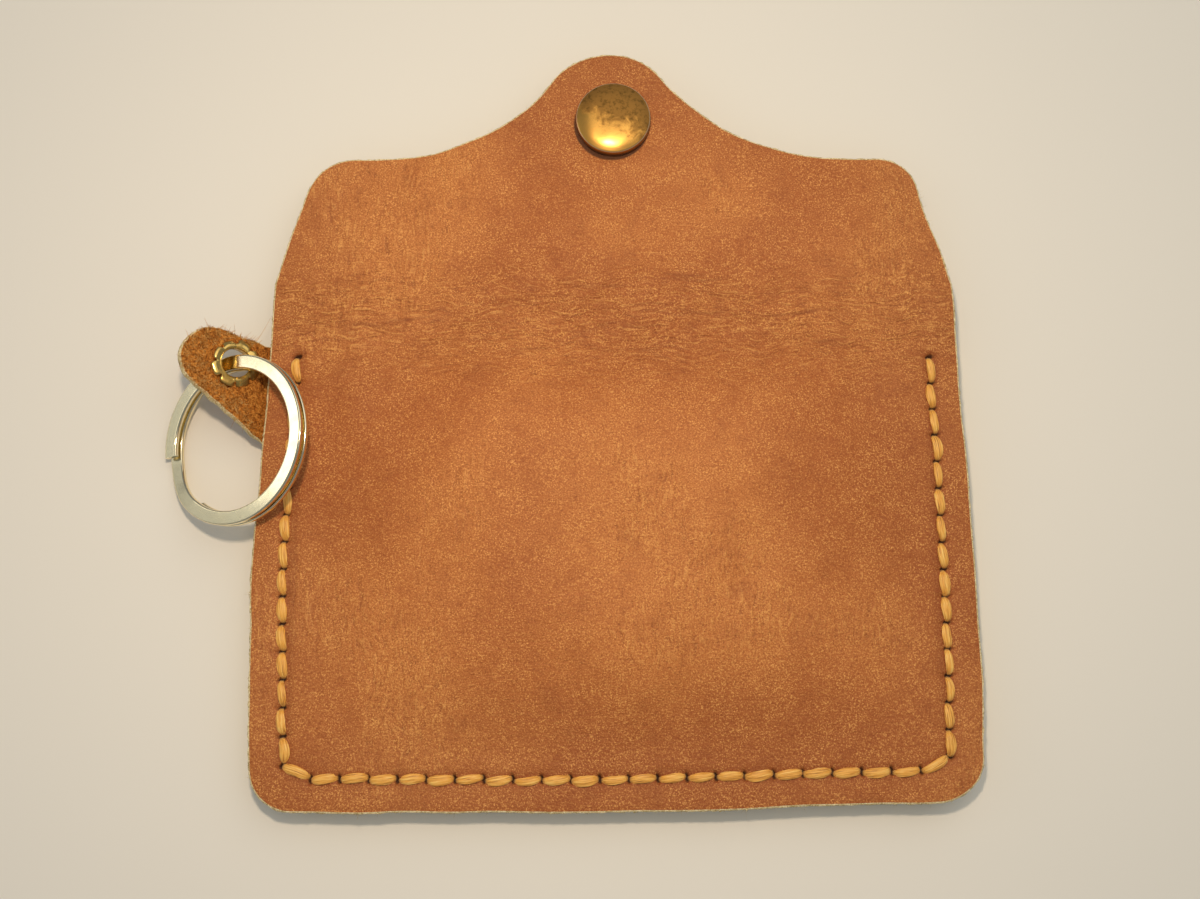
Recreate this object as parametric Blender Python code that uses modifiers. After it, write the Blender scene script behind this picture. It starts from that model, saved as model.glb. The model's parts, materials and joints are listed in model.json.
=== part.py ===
"""A keychain card wallet of leather, lying face down with its flap open.

Modelled in the wallet's own frame: x runs across it, y from the bottom edge of the body up to the
tip of the flap, and z up from the table. An empty then carries everything, so that the middle of
the underside of the whole box lies on the world origin. Lengths are in metres.
"""
import math

import bmesh
import bpy
from mathutils import Vector

OBJECT_NAME = "keychain_card_wallet"

# General
GAP = 0.0003
OVERRUN = 0.004
WELD = 0.000002
ARC_STEPS = 6
TURN_STEPS = 40
CRISP_ANGLE = math.radians(45)

# Leather of the body
LEATHER = 0.0018
FOLD_HALF_WIDTH = 0.0505
BODY_SPREAD = 0.0008
BOTTOM_CORNER_RADIUS = 0.0065
FRONT_DROP = 0.0051
PANEL_CELL = 0.0075
CARD_ROOM = 0.0013
SEAM_FLAT = 0.0022
FRONT_RISE_POWER = 2
BACK_RISE_POWER = 3
TAB_LIFT_LENGTH = 0.0215
TAB_LIFT_CLEARANCE = 0.0004

# Flap and fold
FOLD_CENTRE = 0.0714
SHOULDER_INSET = 0.00575
SHOULDER_DROP = 0.0171
SHOULDER_RADIUS = 0.0065
SHOULDER_FLAT = 0.0109
FLAP_REACH = 0.0415
TIP_RADIUS = 0.0105
SWEEP_ANGLE = math.radians(53)
SHOULDER_SLOPE = math.radians(0.5)
SNAP_DROP = 0.0112

# Stitching
STITCH_INSET = 0.0049
STITCH_TOP_INSET = 0.0015
STITCH_BOTTOM = 0.0048
STITCH_CORNER_RISE = 0.0020
STITCH_CORNER_INSET = 0.0040
SIDE_STITCHES = 15
BOTTOM_STITCHES = 21
THREAD_DIAMETER = 0.00044
THREAD_GAP = 0.00008
STRAND_OFFSET = 0.00028
STITCH_LANDING = 0.0002
STITCH_DIP = 0.0006
HOLE_ACROSS = 0.00085
HOLE_ALONG = 0.0006

# Snap cap and its post
CAP_RADIUS = 0.00565
CAP_HEIGHT = 0.0021
CAP_EDGE = 0.0007
CAP_WALL = 0.00045
CAP_POST_RADIUS = 0.0014
CAP_FLARE_RADIUS = 0.00195
CAP_FLARE = 0.00035
DOME_STEPS = 8

# Snap socket and its spring
SOCKET_BASE = 0.0005
SOCKET_FLANGE_RADIUS = 0.0049
SOCKET_BODY_RADIUS = 0.0044
SOCKET_BORE_RADIUS = 0.0030
SOCKET_LIP_RADIUS = 0.0029
SOCKET_LIP = 0.00035
SOCKET_GROOVE_RADIUS = 0.0037
SOCKET_GROOVE = 0.00125
SOCKET_ROUND = 0.0003
SPRING_WIRE = 0.00065
SPRING_INNER_RADIUS = 0.00265
SPRING_OPENING = math.radians(34)
SPRING_STEPS = 24

# Snap stud and its rivet
STUD_LIFT = 0.0028
STUD_FLANGE = 0.00035
STUD_FLANGE_RADIUS = 0.0037
STUD_NECK_RADIUS = 0.00215
STUD_HEAD_RADIUS = 0.0025
STUD_HEAD = 0.0007
STUD_CAVITY_RADIUS = 0.00175
STUD_TIP_WALL = 0.0004
RIVET_RADIUS = 0.0009
RIVET_FLARE_RADIUS = 0.00145
RIVET_FLARE = 0.00035
RIVET_FLANGE_RADIUS = 0.00375
RIVET_FLANGE = 0.0004

# Key tab
TAB_ROOT_THICKNESS = 0.0006
TAB_THICKNESS = 0.0013
TAB_WIDTH = 0.0150
TAB_DROP = 0.0045
TAB_STAND_OFF = 0.0007
TAB_ROOT_DEPTH = 0.0078
TAB_ROOT_INSET = 0.0007
TAB_END_REACH = 0.0084
TAB_END_RISE = 0.0119
TAB_END_RADIUS = 0.0048
TAB_SKIVE = 0.0022
TAB_CELL = 0.0021
TAB_TILT = math.radians(33)

# Eyelet
EYELET_REACH = 0.0052
EYELET_DROP = 0.0003
EYELET_BORE_RADIUS = 0.0024
EYELET_WALL = 0.00025
EYELET_FLANGE_RADIUS = 0.0035
EYELET_FLANGE = 0.0003
EYELET_SEAT = 0.00015
EYELET_ROLL = 0.0002
EYELET_PETALS = 8
PETAL_SLOT = 0.00035

# Split ring
RING_RADIUS = 0.0125
RING_WIRE_WIDTH = 0.0021
RING_WIRE_HEIGHT = 0.00073
RING_TURN_GAP = 0.00045
RING_WIRE_ROUND = 0.0002
RING_HANG = math.radians(5)
RING_STEP_START = math.radians(191)
RING_STEP_END = math.radians(235)
RING_END_ROOM = math.radians(2)
RING_STEP = math.radians(8)

# Surfaces: colour, roughness, metallic
FINISHES = {
    "grain_leather": ((0.46, 0.19, 0.085), 0.72, 0.0),
    "rough_leather": ((0.42, 0.20, 0.075), 0.95, 0.0),
    "waxed_thread": ((0.72, 0.42, 0.13), 0.55, 0.0),
    "antique_brass": ((0.50, 0.32, 0.10), 0.32, 1.0),
    "bright_brass": ((0.83, 0.62, 0.25), 0.25, 1.0),
    "polished_nickel": ((0.80, 0.74, 0.60), 0.16, 1.0),
    "spring_steel": ((0.55, 0.55, 0.56), 0.30, 1.0),
}

# Widths and heights in plan
BODY_HALF_WIDTH = FOLD_HALF_WIDTH + BODY_SPREAD
SHOULDER_HALF_WIDTH = FOLD_HALF_WIDTH - SHOULDER_INSET
TIP_HEIGHT = FOLD_CENTRE + FLAP_REACH
SWEEP_RADIUS = ((SHOULDER_HALF_WIDTH - SHOULDER_FLAT - TIP_RADIUS * math.sin(SWEEP_ANGLE))
                / (math.sin(SWEEP_ANGLE) - math.sin(SHOULDER_SLOPE)))
SHOULDER_HEIGHT = TIP_HEIGHT - SHOULDER_DROP
SNAP_HEIGHT = TIP_HEIGHT - SNAP_DROP
STUD_HEIGHT = 2 * FOLD_CENTRE - SNAP_HEIGHT
FRONT_HEIGHT = FOLD_CENTRE - FRONT_DROP
STITCH_HALF_WIDTH = BODY_HALF_WIDTH - STITCH_INSET
STITCH_TOP = FRONT_HEIGHT - STITCH_TOP_INSET
STITCH_CORNER_HEIGHT = STITCH_BOTTOM + STITCH_CORNER_RISE
STITCH_BOTTOM_HALF_WIDTH = STITCH_HALF_WIDTH - STITCH_CORNER_INSET
TAB_HIGH = FOLD_CENTRE - TAB_DROP
TAB_LOW = TAB_HIGH - TAB_WIDTH
TAB_ROOT_HIGH = TAB_HIGH - TAB_ROOT_INSET
TAB_END_HEIGHT = TAB_LOW + TAB_END_RISE
EYELET_HEIGHT = TAB_END_HEIGHT - EYELET_DROP
TAB_LIFT_END = TAB_LOW - TAB_LIFT_CLEARANCE
TAB_LIFT_START = TAB_LIFT_END - TAB_LIFT_LENGTH

# Heights above the table, from the underside up
BORDER_OUTER = THREAD_DIAMETER + 2 * THREAD_GAP
BORDER_INNER = BORDER_OUTER + LEATHER
BACK_BORDER = BORDER_INNER + GAP
TAB_RISE = TAB_ROOT_THICKNESS + GAP
FOLD_INNER = BACK_BORDER + TAB_RISE
FOLD_MIDDLE = FOLD_INNER + LEATHER / 2
FLAP_TOP = FOLD_INNER + LEATHER
STUD_PUSH = STUD_LIFT - BORDER_OUTER
STUD_BASE_TOP = STUD_LIFT - GAP
STUD_BASE_UNDER = STUD_BASE_TOP - STUD_FLANGE
RIVET_SEAT = STUD_LIFT + LEATHER + GAP
DOME_RISE = RIVET_SEAT + RIVET_FLANGE + CARD_ROOM - BACK_BORDER
SOCKET_HEIGHT = FOLD_INNER - GAP
SPRING_HEIGHT = SOCKET_LIP + GAP + SPRING_WIRE / 2
TAB_MIDDLE = BORDER_INNER + GAP + TAB_ROOT_THICKNESS / 2

# The shut flap lies as close as its socket lets it, over the stud's base and over the stud's tip
SHUT_BY_BASE = STUD_BASE_UNDER - GAP - SOCKET_HEIGHT - GAP
SHUT_BY_TIP = -(GAP + SOCKET_BASE + GAP + CAP_FLARE + GAP)
SHUT_FLAP_INNER = min(SHUT_BY_BASE, SHUT_BY_TIP)
SHUT_DISTANCE = FOLD_MIDDLE - (SHUT_FLAP_INNER - LEATHER / 2)
MITRE = LEATHER / 2

# The fold and the rises
FOLD_START = FOLD_CENTRE - SHUT_DISTANCE / 2
FOLD_END = FOLD_CENTRE + SHUT_DISTANCE / 2
BACK_HEIGHT = FOLD_START - GAP / 2
RISE_HALF_WIDTH = STITCH_HALF_WIDTH - SEAM_FLAT
RISE_START = STITCH_BOTTOM + SEAM_FLAT


def half_width(height):
    """Half the body's width at a height up from its bottom edge."""
    return BODY_HALF_WIDTH + (FOLD_HALF_WIDTH - BODY_HALF_WIDTH) * height / FOLD_START


TAB_HINGE_X = -half_width((TAB_LOW + TAB_HIGH) / 2) - TAB_STAND_OFF
TAB_START = GAP
EYELET_X = TAB_HINGE_X - EYELET_REACH * math.cos(TAB_TILT)
EYELET_Z = TAB_MIDDLE + EYELET_REACH * math.sin(TAB_TILT)
RING_HEIGHT = 2 * RING_WIRE_HEIGHT + RING_TURN_GAP
RING_WIRE_RADIUS = RING_RADIUS - RING_WIRE_WIDTH / 2

# The ring hangs in the eyelet and leans until its left side meets the table
RING_LEVER = RING_RADIUS - RING_WIRE_RADIUS * math.sin(RING_HANG)
RING_TILT = (math.asin(EYELET_Z / math.hypot(RING_LEVER, RING_HEIGHT / 2))
             - math.atan2(RING_HEIGHT / 2, RING_LEVER))
RING_SHIFT = RING_WIRE_RADIUS * math.sin(RING_HANG)
RING_CENTRE = Vector((EYELET_X + RING_SHIFT * math.cos(RING_TILT),
                      EYELET_HEIGHT - RING_WIRE_RADIUS * math.cos(RING_HANG),
                      EYELET_Z + RING_SHIFT * math.sin(RING_TILT)))


def smooth_step(share):
    """Nought below 0, one above 1, and a smooth rise between."""
    share = min(max(share, 0.0), 1.0)
    return share * share * (3 - 2 * share)


def bell(distance, flat, reach, power):
    """One as far as a flat distance, then falling to nought at the reach.

    A higher power gives rounder shoulders.
    """
    share = max(abs(distance) - flat, 0.0) / (reach - flat)
    return (1 - share ** power) ** 2 if share < 1 else 0.0


def rise(x, y, flat, top, power):
    """A dome over the stud, flat over what lifts it, that dies out at the seams and at a top edge."""
    reach = STUD_HEIGHT - RISE_START if y < STUD_HEIGHT else top - STUD_HEIGHT
    return bell(x, flat, RISE_HALF_WIDTH, power) * bell(y - STUD_HEIGHT, flat, reach, power)


def front_rise(x, y):
    """How far the stud under the front panel pushes it up."""
    return STUD_PUSH * rise(x, y, STUD_FLANGE_RADIUS, FRONT_HEIGHT, FRONT_RISE_POWER)


def back_rise(x, y):
    """How far the back panel stands over its own border: the dome, and the lift at the key tab."""
    lift = TAB_RISE * smooth_step((y - TAB_LIFT_START) / (TAB_LIFT_END - TAB_LIFT_START))
    return lift + DOME_RISE * rise(x, y, RIVET_FLANGE_RADIUS, BACK_HEIGHT, BACK_RISE_POWER)


def arc(centre, radius, start, end, steps=ARC_STEPS):
    """Points on an arc, at angles from the x axis."""
    return [(centre[0] + radius * math.cos(start + (end - start) * step / steps),
             centre[1] + radius * math.sin(start + (end - start) * step / steps))
            for step in range(steps + 1)]


def rounded(before, corner, after, radius):
    """The points of a rounded corner between two straight edges."""
    corner = Vector(corner)
    towards = (Vector(before) - corner).normalized()
    away = (Vector(after) - corner).normalized()
    half = towards.angle(away) / 2
    centre = corner + (towards + away).normalized() * radius / math.sin(half)
    first = corner + towards * radius / math.tan(half) - centre
    last = corner + away * radius / math.tan(half) - centre
    start = math.atan2(first.y, first.x)
    turn = (math.atan2(last.y, last.x) - start + math.pi) % math.tau - math.pi
    return arc(centre, radius, start, start + turn)


def body_outline(height):
    """A panel with two rounded bottom corners and a straight top edge."""
    top = half_width(height)
    corners = [(-top, height), (-BODY_HALF_WIDTH, 0), (BODY_HALF_WIDTH, 0), (top, height)]
    return ([corners[0]] + rounded(corners[0], corners[1], corners[2], BOTTOM_CORNER_RADIUS)
            + rounded(corners[1], corners[2], corners[3], BOTTOM_CORNER_RADIUS) + [corners[3]])


def flap_outline():
    """The flap: sides that draw in to two shoulders, then a hollow sweep up to a round tip."""
    low = FOLD_END + GAP / 2
    foot = (FOLD_HALF_WIDTH, low)
    shoulder = (SHOULDER_HALF_WIDTH, SHOULDER_HEIGHT)
    tip_centre = (0, TIP_HEIGHT - TIP_RADIUS)
    both = TIP_RADIUS + SWEEP_RADIUS
    sweep_centre = (both * math.sin(SWEEP_ANGLE), tip_centre[1] + both * math.cos(SWEEP_ANGLE))
    quarter = math.pi / 2
    sweep = arc(sweep_centre, SWEEP_RADIUS, -quarter - SHOULDER_SLOPE, -quarter - SWEEP_ANGLE)
    tip = arc(tip_centre, TIP_RADIUS, quarter - SWEEP_ANGLE, quarter)
    right = [foot] + rounded(foot, shoulder, sweep[0], SHOULDER_RADIUS) + sweep + tip[1:]
    left = [(-x, y) for x, y in reversed(right[:-1])]
    return right + left


def tangent_angle(point, centre, radius, side):
    """The angle on a circle where a line from a point outside touches it."""
    reach = Vector(point) - Vector(centre)
    return math.atan2(reach.y, reach.x) + side * math.acos(radius / reach.length)


def tab_outline():
    """The free end of the key tab, laid flat: it narrows to a round end away from the body."""
    low = (-TAB_START, TAB_LOW)
    high = (-TAB_START, TAB_HIGH)
    centre = (-TAB_END_REACH, TAB_END_HEIGHT)
    start = tangent_angle(high, centre, TAB_END_RADIUS, 1) % math.tau
    end = tangent_angle(low, centre, TAB_END_RADIUS, -1) % math.tau
    return [low, high] + arc(centre, TAB_END_RADIUS, start, end, 2 * ARC_STEPS)


def stitch_holes():
    """The stitch holes in sewing order: down the left side, along the bottom, up the right."""
    pitch = (STITCH_TOP - STITCH_CORNER_HEIGHT) / SIDE_STITCHES
    side = [STITCH_TOP - pitch * hole for hole in range(SIDE_STITCHES + 1)]
    step = 2 * STITCH_BOTTOM_HALF_WIDTH / BOTTOM_STITCHES
    left = [Vector((-STITCH_HALF_WIDTH, y)) for y in side]
    bottom = [Vector((step * hole - STITCH_BOTTOM_HALF_WIDTH, STITCH_BOTTOM))
              for hole in range(BOTTOM_STITCHES + 1)]
    right = [Vector((STITCH_HALF_WIDTH, y)) for y in reversed(side)]
    return left + bottom + right


def inward(holes, index):
    """The direction from the stitch line towards the middle of the body, at one hole."""
    before = holes[max(index - 1, 0)]
    after = holes[min(index + 1, len(holes) - 1)]
    along = (after - before).normalized()
    return Vector((-along.y, along.x))


def link(obj, collection):
    """Put an object in one collection only."""
    for other in list(obj.users_collection):
        other.objects.unlink(obj)
    collection.objects.link(obj)
    return obj


def make_mesh(obj):
    """Replace an object, with its modifiers or its curve, by the plain closed mesh it shows."""
    depsgraph = bpy.context.evaluated_depsgraph_get()
    mesh = bpy.data.meshes.new_from_object(obj.evaluated_get(depsgraph))
    bm = bmesh.new()
    bm.from_mesh(mesh)
    bmesh.ops.remove_doubles(bm, verts=bm.verts, dist=WELD)
    bmesh.ops.recalc_face_normals(bm, faces=bm.faces)
    bm.to_mesh(mesh)
    bm.free()
    name = obj.name
    matrix = obj.matrix_world.copy()
    bpy.data.objects.remove(obj)
    solid = bpy.data.objects.new(name, mesh)
    solid.matrix_world = matrix
    bpy.context.scene.collection.objects.link(solid)
    return solid


def prism(name, outline, low, high):
    """A flat outline carried from one height to another."""
    curve = bpy.data.curves.new(name, "CURVE")
    curve.dimensions = "2D"
    curve.fill_mode = "BOTH"
    curve.extrude = (high - low) / 2
    spline = curve.splines.new("POLY")
    spline.points.add(len(outline) - 1)
    for point, (x, y) in zip(spline.points, outline):
        point.co = (x, y, 0, 1)
    spline.use_cyclic_u = True
    obj = bpy.data.objects.new(name, curve)
    obj.location.z = (low + high) / 2
    bpy.context.scene.collection.objects.link(obj)
    bpy.context.view_layer.update()
    return make_mesh(obj)


def turned(name, profile, steps=TURN_STEPS, closed=False):
    """A round piece: a profile of (radius, height) points turned about the z axis."""
    mesh = bpy.data.meshes.new(name)
    edges = [(index, index + 1) for index in range(len(profile) - 1)]
    if closed:
        edges.append((len(profile) - 1, 0))
    mesh.from_pydata([(radius, 0, height) for radius, height in profile], edges, [])
    obj = bpy.data.objects.new(name, mesh)
    bpy.context.scene.collection.objects.link(obj)
    screw = obj.modifiers.new("turn", "SCREW")
    screw.steps = steps
    screw.render_steps = steps
    screw.use_merge_vertices = True
    screw.merge_threshold = WELD
    return smooth(make_mesh(obj))


def smooth(obj):
    """Shade a round piece smooth, with its crisp edges kept."""
    obj.data.shade_smooth()
    obj.data.set_sharp_from_angle(angle=CRISP_ANGLE)
    return obj


def wire(name, points, radius=None, section=None):
    """A wire through points, round or with the section of a flat curve."""
    curve = bpy.data.curves.new(name, "CURVE")
    curve.dimensions = "3D"
    curve.use_fill_caps = True
    curve.twist_mode = "Z_UP" if section else "MINIMUM"
    if section:
        curve.bevel_mode = "OBJECT"
        curve.bevel_object = section
    else:
        curve.bevel_depth = radius
        curve.bevel_resolution = 1
    spline = curve.splines.new("POLY")
    spline.points.add(len(points) - 1)
    for point, place in zip(spline.points, points):
        point.co = (*place, 1)
    obj = bpy.data.objects.new(name, curve)
    bpy.context.scene.collection.objects.link(obj)
    bpy.context.view_layer.update()
    return smooth(make_mesh(obj))


def combine(obj, cutter, operation, cutters):
    """Cut an object with another, and keep the other as a hidden cutter."""
    modifier = obj.modifiers.new(cutter.name, "BOOLEAN")
    modifier.operation = operation
    modifier.solver = "EXACT"
    modifier.object = cutter
    cutter.hide_render = True
    cutter.display_type = "WIRE"
    link(cutter, cutters)
    bpy.context.view_layer.update()
    return make_mesh(obj)


def joined(name, objects):
    """Several separate solids in one object."""
    bm = bmesh.new()
    for obj in objects:
        obj.data.transform(obj.matrix_world)
        bm.from_mesh(obj.data)
        bpy.data.objects.remove(obj)
    mesh = bpy.data.meshes.new(name)
    bm.to_mesh(mesh)
    bm.free()
    group = bpy.data.objects.new(name, mesh)
    bpy.context.scene.collection.objects.link(group)
    return group


def grid_plate(name, outline, thickness, cell, cutters):
    """A flat sheet of an outline, from z nought up, divided into cells that can take a form."""
    low = [min(point[axis] for point in outline) - OVERRUN for axis in range(2)]
    high = [max(point[axis] for point in outline) + OVERRUN for axis in range(2)]
    counts = [round((high[axis] - low[axis]) / cell) for axis in range(2)]
    bpy.ops.mesh.primitive_grid_add(x_subdivisions=counts[0], y_subdivisions=counts[1], size=1)
    sheet = bpy.context.object
    sheet.name = name
    for vertex in sheet.data.vertices:
        for axis in range(2):
            share = vertex.co[axis] + 0.5
            vertex.co[axis] = low[axis] + (high[axis] - low[axis]) * share
    wall = sheet.modifiers.new("thickness", "SOLIDIFY")
    wall.thickness = thickness
    wall.offset = 1
    bpy.context.view_layer.update()
    sheet = make_mesh(sheet)
    shape = prism(name + "_outline", outline, -OVERRUN, thickness + OVERRUN)
    return combine(sheet, shape, "INTERSECT", cutters)


def form(obj, move):
    """Move every point of a flat sheet, after its faces are cut into triangles."""
    bm = bmesh.new()
    bm.from_mesh(obj.data)
    bmesh.ops.triangulate(bm, faces=bm.faces)
    for vertex in bm.verts:
        vertex.co = move(vertex.co.copy())
    bm.to_mesh(obj.data)
    bm.free()
    return obj


def mitre_shift(point, edge, side):
    """How far a point on the inner corner of an edge at a bend stands back, for the bend to close."""
    on_edge = abs(point.y - edge) < WELD and point.z < LEATHER / 2
    return side * MITRE if on_edge else 0.0


def hole_cutter(name, holes):
    """Diamond shaped awl holes, upright through both panels."""
    prisms = []
    for index, place in enumerate(holes):
        across = inward(holes, index) * HOLE_ACROSS
        along = Vector((across.y, -across.x)).normalized() * HOLE_ALONG
        outline = [place + across, place + along, place - across, place - along]
        prisms.append(prism(f"{name}_{index}", outline, -OVERRUN, LEATHER + OVERRUN))
    return joined(name, prisms)


def disc(name, x, y, radius, low, high):
    """An upright round cutter."""
    circle = arc((x, y), radius, 0, math.tau, 4 * ARC_STEPS)[:-1]
    return prism(name, circle, low, high)


def make_back_panel(holes, cutters):
    """The rear leather, domed over the stud and the cards, straight along the fold."""
    panel = grid_plate("back_panel", body_outline(BACK_HEIGHT), LEATHER, PANEL_CELL, cutters)
    panel = combine(panel, hole_cutter("back_holes", holes), "DIFFERENCE", cutters)

    def place(point):
        height = BACK_BORDER + back_rise(point.x, point.y) + point.z
        return Vector((point.x, point.y + mitre_shift(point, BACK_HEIGHT, -1), height))

    return form(panel, place)


def make_front_panel(holes, cutters):
    """The front leather, pushed up in the middle by the stud that it lies on."""
    panel = grid_plate("front_panel", body_outline(FRONT_HEIGHT), LEATHER, PANEL_CELL, cutters)
    panel = combine(panel, hole_cutter("front_holes", holes), "DIFFERENCE", cutters)
    rivet_hole = disc("rivet_hole", 0, STUD_HEIGHT, RIVET_RADIUS + GAP, -OVERRUN, LEATHER + OVERRUN)
    panel = combine(panel, rivet_hole, "DIFFERENCE", cutters)

    def place(point):
        return Vector((point.x, point.y, BORDER_OUTER + front_rise(point.x, point.y) + point.z))

    return form(panel, place)


def make_fold_strip():
    """The strip that stands upright behind the shut wallet, with its inner corners stood back."""
    length = SHUT_DISTANCE - GAP
    inner = length - 2 * MITRE
    bpy.ops.mesh.primitive_cube_add(size=1)
    strip = bpy.context.object
    strip.name = "fold_strip"
    for vertex in strip.data.vertices:
        share = vertex.co.copy()
        span = length if share.z > 0 else inner
        vertex.co = (2 * FOLD_HALF_WIDTH * share.x, FOLD_CENTRE + span * share.y,
                     FOLD_MIDDLE + LEATHER * share.z)
    return strip


def make_flap(cutters):
    """The flap, with the hole for the cap's post."""
    flap = grid_plate("flap", flap_outline(), LEATHER, PANEL_CELL, cutters)
    post_hole = disc("cap_post_hole", 0, SNAP_HEIGHT, CAP_POST_RADIUS + GAP,
                     -OVERRUN, LEATHER + OVERRUN)
    flap = combine(flap, post_hole, "DIFFERENCE", cutters)
    edge = FOLD_END + GAP / 2

    def place(point):
        return Vector((point.x, point.y + mitre_shift(point, edge, 1), FOLD_INNER + point.z))

    return form(flap, place)


def make_tab_root(holes, cutters):
    """The thinned end of the key tab, sewn between the panels."""
    outer = TAB_HINGE_X + TAB_START / 2
    inner = outer + TAB_ROOT_DEPTH
    outline = [(outer, TAB_LOW), (inner, TAB_LOW), (inner, TAB_ROOT_HIGH), (outer, TAB_ROOT_HIGH)]
    low = TAB_MIDDLE - TAB_ROOT_THICKNESS / 2
    root = prism("tab_root", outline, low, low + TAB_ROOT_THICKNESS)
    return combine(root, hole_cutter("tab_holes", holes), "DIFFERENCE", cutters)


def make_tab_end(cutters):
    """The free end of the key tab, thinned towards the body, in its own flat frame."""
    tab = grid_plate("tab_end", tab_outline(), TAB_THICKNESS, TAB_CELL, cutters)
    hole = disc("eyelet_hole", -EYELET_REACH, EYELET_HEIGHT,
                EYELET_BORE_RADIUS + EYELET_WALL + GAP, -OVERRUN, TAB_THICKNESS + OVERRUN)
    tab = combine(tab, hole, "DIFFERENCE", cutters)
    thin_share = TAB_ROOT_THICKNESS / TAB_THICKNESS

    def place(point):
        share = thin_share + (1 - thin_share) * smooth_step((-point.x - TAB_START) / TAB_SKIVE)
        return Vector((point.x, point.y, (point.z - TAB_THICKNESS / 2) * share))

    return form(tab, place)


def make_eyelet(cutters):
    """A brass eyelet: a barrel, a smooth flange below and a flange split into petals above."""
    seat = TAB_THICKNESS / 2 + EYELET_SEAT
    top = seat + EYELET_FLANGE
    barrel = EYELET_BORE_RADIUS + EYELET_WALL
    mouth = EYELET_BORE_RADIUS + EYELET_ROLL
    rim = EYELET_FLANGE_RADIUS - EYELET_ROLL / 2
    profile = [(mouth, top), (rim, top), (EYELET_FLANGE_RADIUS, seat), (barrel, seat),
               (barrel, -seat), (EYELET_FLANGE_RADIUS, -seat), (rim, -top), (mouth, -top),
               (EYELET_BORE_RADIUS, EYELET_ROLL - top), (EYELET_BORE_RADIUS, top - EYELET_ROLL)]
    eyelet = turned("tab_eyelet", profile, closed=True)
    slots = []
    reach = EYELET_FLANGE_RADIUS + OVERRUN
    for index in range(EYELET_PETALS):
        angle = math.tau * (index + 0.5) / EYELET_PETALS
        away = Vector((math.cos(angle), math.sin(angle)))
        across = Vector((-away.y, away.x)) * PETAL_SLOT / 2
        near = away * (EYELET_BORE_RADIUS + EYELET_WALL / 2)
        far = away * reach
        outline = [near - across, far - across, far + across, near + across]
        slots.append(prism(f"petal_slot_{index}", outline, seat - EYELET_FLANGE / 2, top + OVERRUN))
    eyelet = combine(eyelet, joined("petal_slots", slots), "DIFFERENCE", cutters)
    return smooth(eyelet)


def ring_path():
    """The middle line of the split ring's wire: a turn, a step up, and the turn above it.

    Prints the least gap between the two turns, measured between points of the line.
    """
    start = RING_STEP_END + RING_END_ROOM
    end = RING_STEP_START - RING_END_ROOM + 2 * math.tau
    steps = round((end - start) / RING_STEP)
    rise = RING_WIRE_HEIGHT + RING_TURN_GAP
    points = []
    angles = []
    for step in range(steps + 1):
        angle = start + (end - start) * step / steps
        share = (angle - RING_STEP_START - math.tau) / (RING_STEP_END - RING_STEP_START)
        height = rise * (smooth_step(share) - 0.5)
        points.append(Vector((RING_WIRE_RADIUS * math.cos(angle),
                              RING_WIRE_RADIUS * math.sin(angle), height)))
        angles.append(angle)
    least = min((points[i] - points[j]).length for i in range(len(points))
                for j in range(i) if angles[i] - angles[j] > math.pi)
    print(f"split ring: least gap between turns {(least - RING_WIRE_HEIGHT) * 1000:.3f} mm")
    return points


def make_split_ring(cutters):
    """Two turns of flat wire with rounded edges, joined by the step."""
    wide = RING_WIRE_WIDTH / 2
    tall = RING_WIRE_HEIGHT / 2
    cut = RING_WIRE_ROUND
    outline = [(wide - cut, -tall), (wide, cut - tall), (wide, tall - cut), (wide - cut, tall),
               (cut - wide, tall), (-wide, tall - cut), (-wide, cut - tall), (cut - wide, -tall)]
    curve = bpy.data.curves.new("ring_section", "CURVE")
    spline = curve.splines.new("POLY")
    spline.points.add(len(outline) - 1)
    for point, (x, y) in zip(spline.points, outline):
        point.co = (x, y, 0, 1)
    spline.use_cyclic_u = True
    section = bpy.data.objects.new("ring_section", curve)
    section.hide_render = True
    cutters.objects.link(section)
    return wire("split_ring", ring_path(), section=section)


def make_cap():
    """The domed cap of the snap with its post, which is spread inside the socket."""
    rim = FLAP_TOP + GAP
    crown = rim + CAP_HEIGHT
    recess = rim + CAP_WALL
    seat = FOLD_INNER - GAP - SOCKET_BASE - GAP
    dome = CAP_HEIGHT - CAP_EDGE
    profile = []
    for step in range(DOME_STEPS + 1):
        angle = math.pi / 2 * step / DOME_STEPS
        profile.append((CAP_RADIUS * math.sin(angle), crown - dome * (1 - math.cos(angle))))
    profile += [(CAP_RADIUS - CAP_WALL / 2, rim), (CAP_RADIUS - CAP_WALL, rim),
                (CAP_RADIUS - 2 * CAP_WALL, recess), (CAP_POST_RADIUS, recess),
                (CAP_POST_RADIUS, seat), (CAP_FLARE_RADIUS, seat),
                (CAP_FLARE_RADIUS, seat - CAP_FLARE), (0, seat - CAP_FLARE)]
    return turned("snap_cap", profile)


def make_socket():
    """The socket under the flap: a base, a bore, and a groove behind its lip for the spring."""
    top = SOCKET_HEIGHT
    under = top - SOCKET_BASE
    hole = CAP_POST_RADIUS + GAP
    groove_top = SOCKET_LIP + SOCKET_GROOVE
    profile = [(hole, top), (SOCKET_FLANGE_RADIUS, top), (SOCKET_FLANGE_RADIUS, under),
               (SOCKET_BODY_RADIUS, under - SOCKET_ROUND), (SOCKET_BODY_RADIUS, SOCKET_ROUND),
               (SOCKET_BODY_RADIUS - SOCKET_ROUND, 0), (SOCKET_LIP_RADIUS, 0),
               (SOCKET_LIP_RADIUS, SOCKET_LIP), (SOCKET_GROOVE_RADIUS, SOCKET_LIP),
               (SOCKET_GROOVE_RADIUS, groove_top), (SOCKET_BORE_RADIUS, groove_top),
               (SOCKET_BORE_RADIUS, under), (hole, under)]
    return turned("snap_socket", profile, closed=True)


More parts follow.
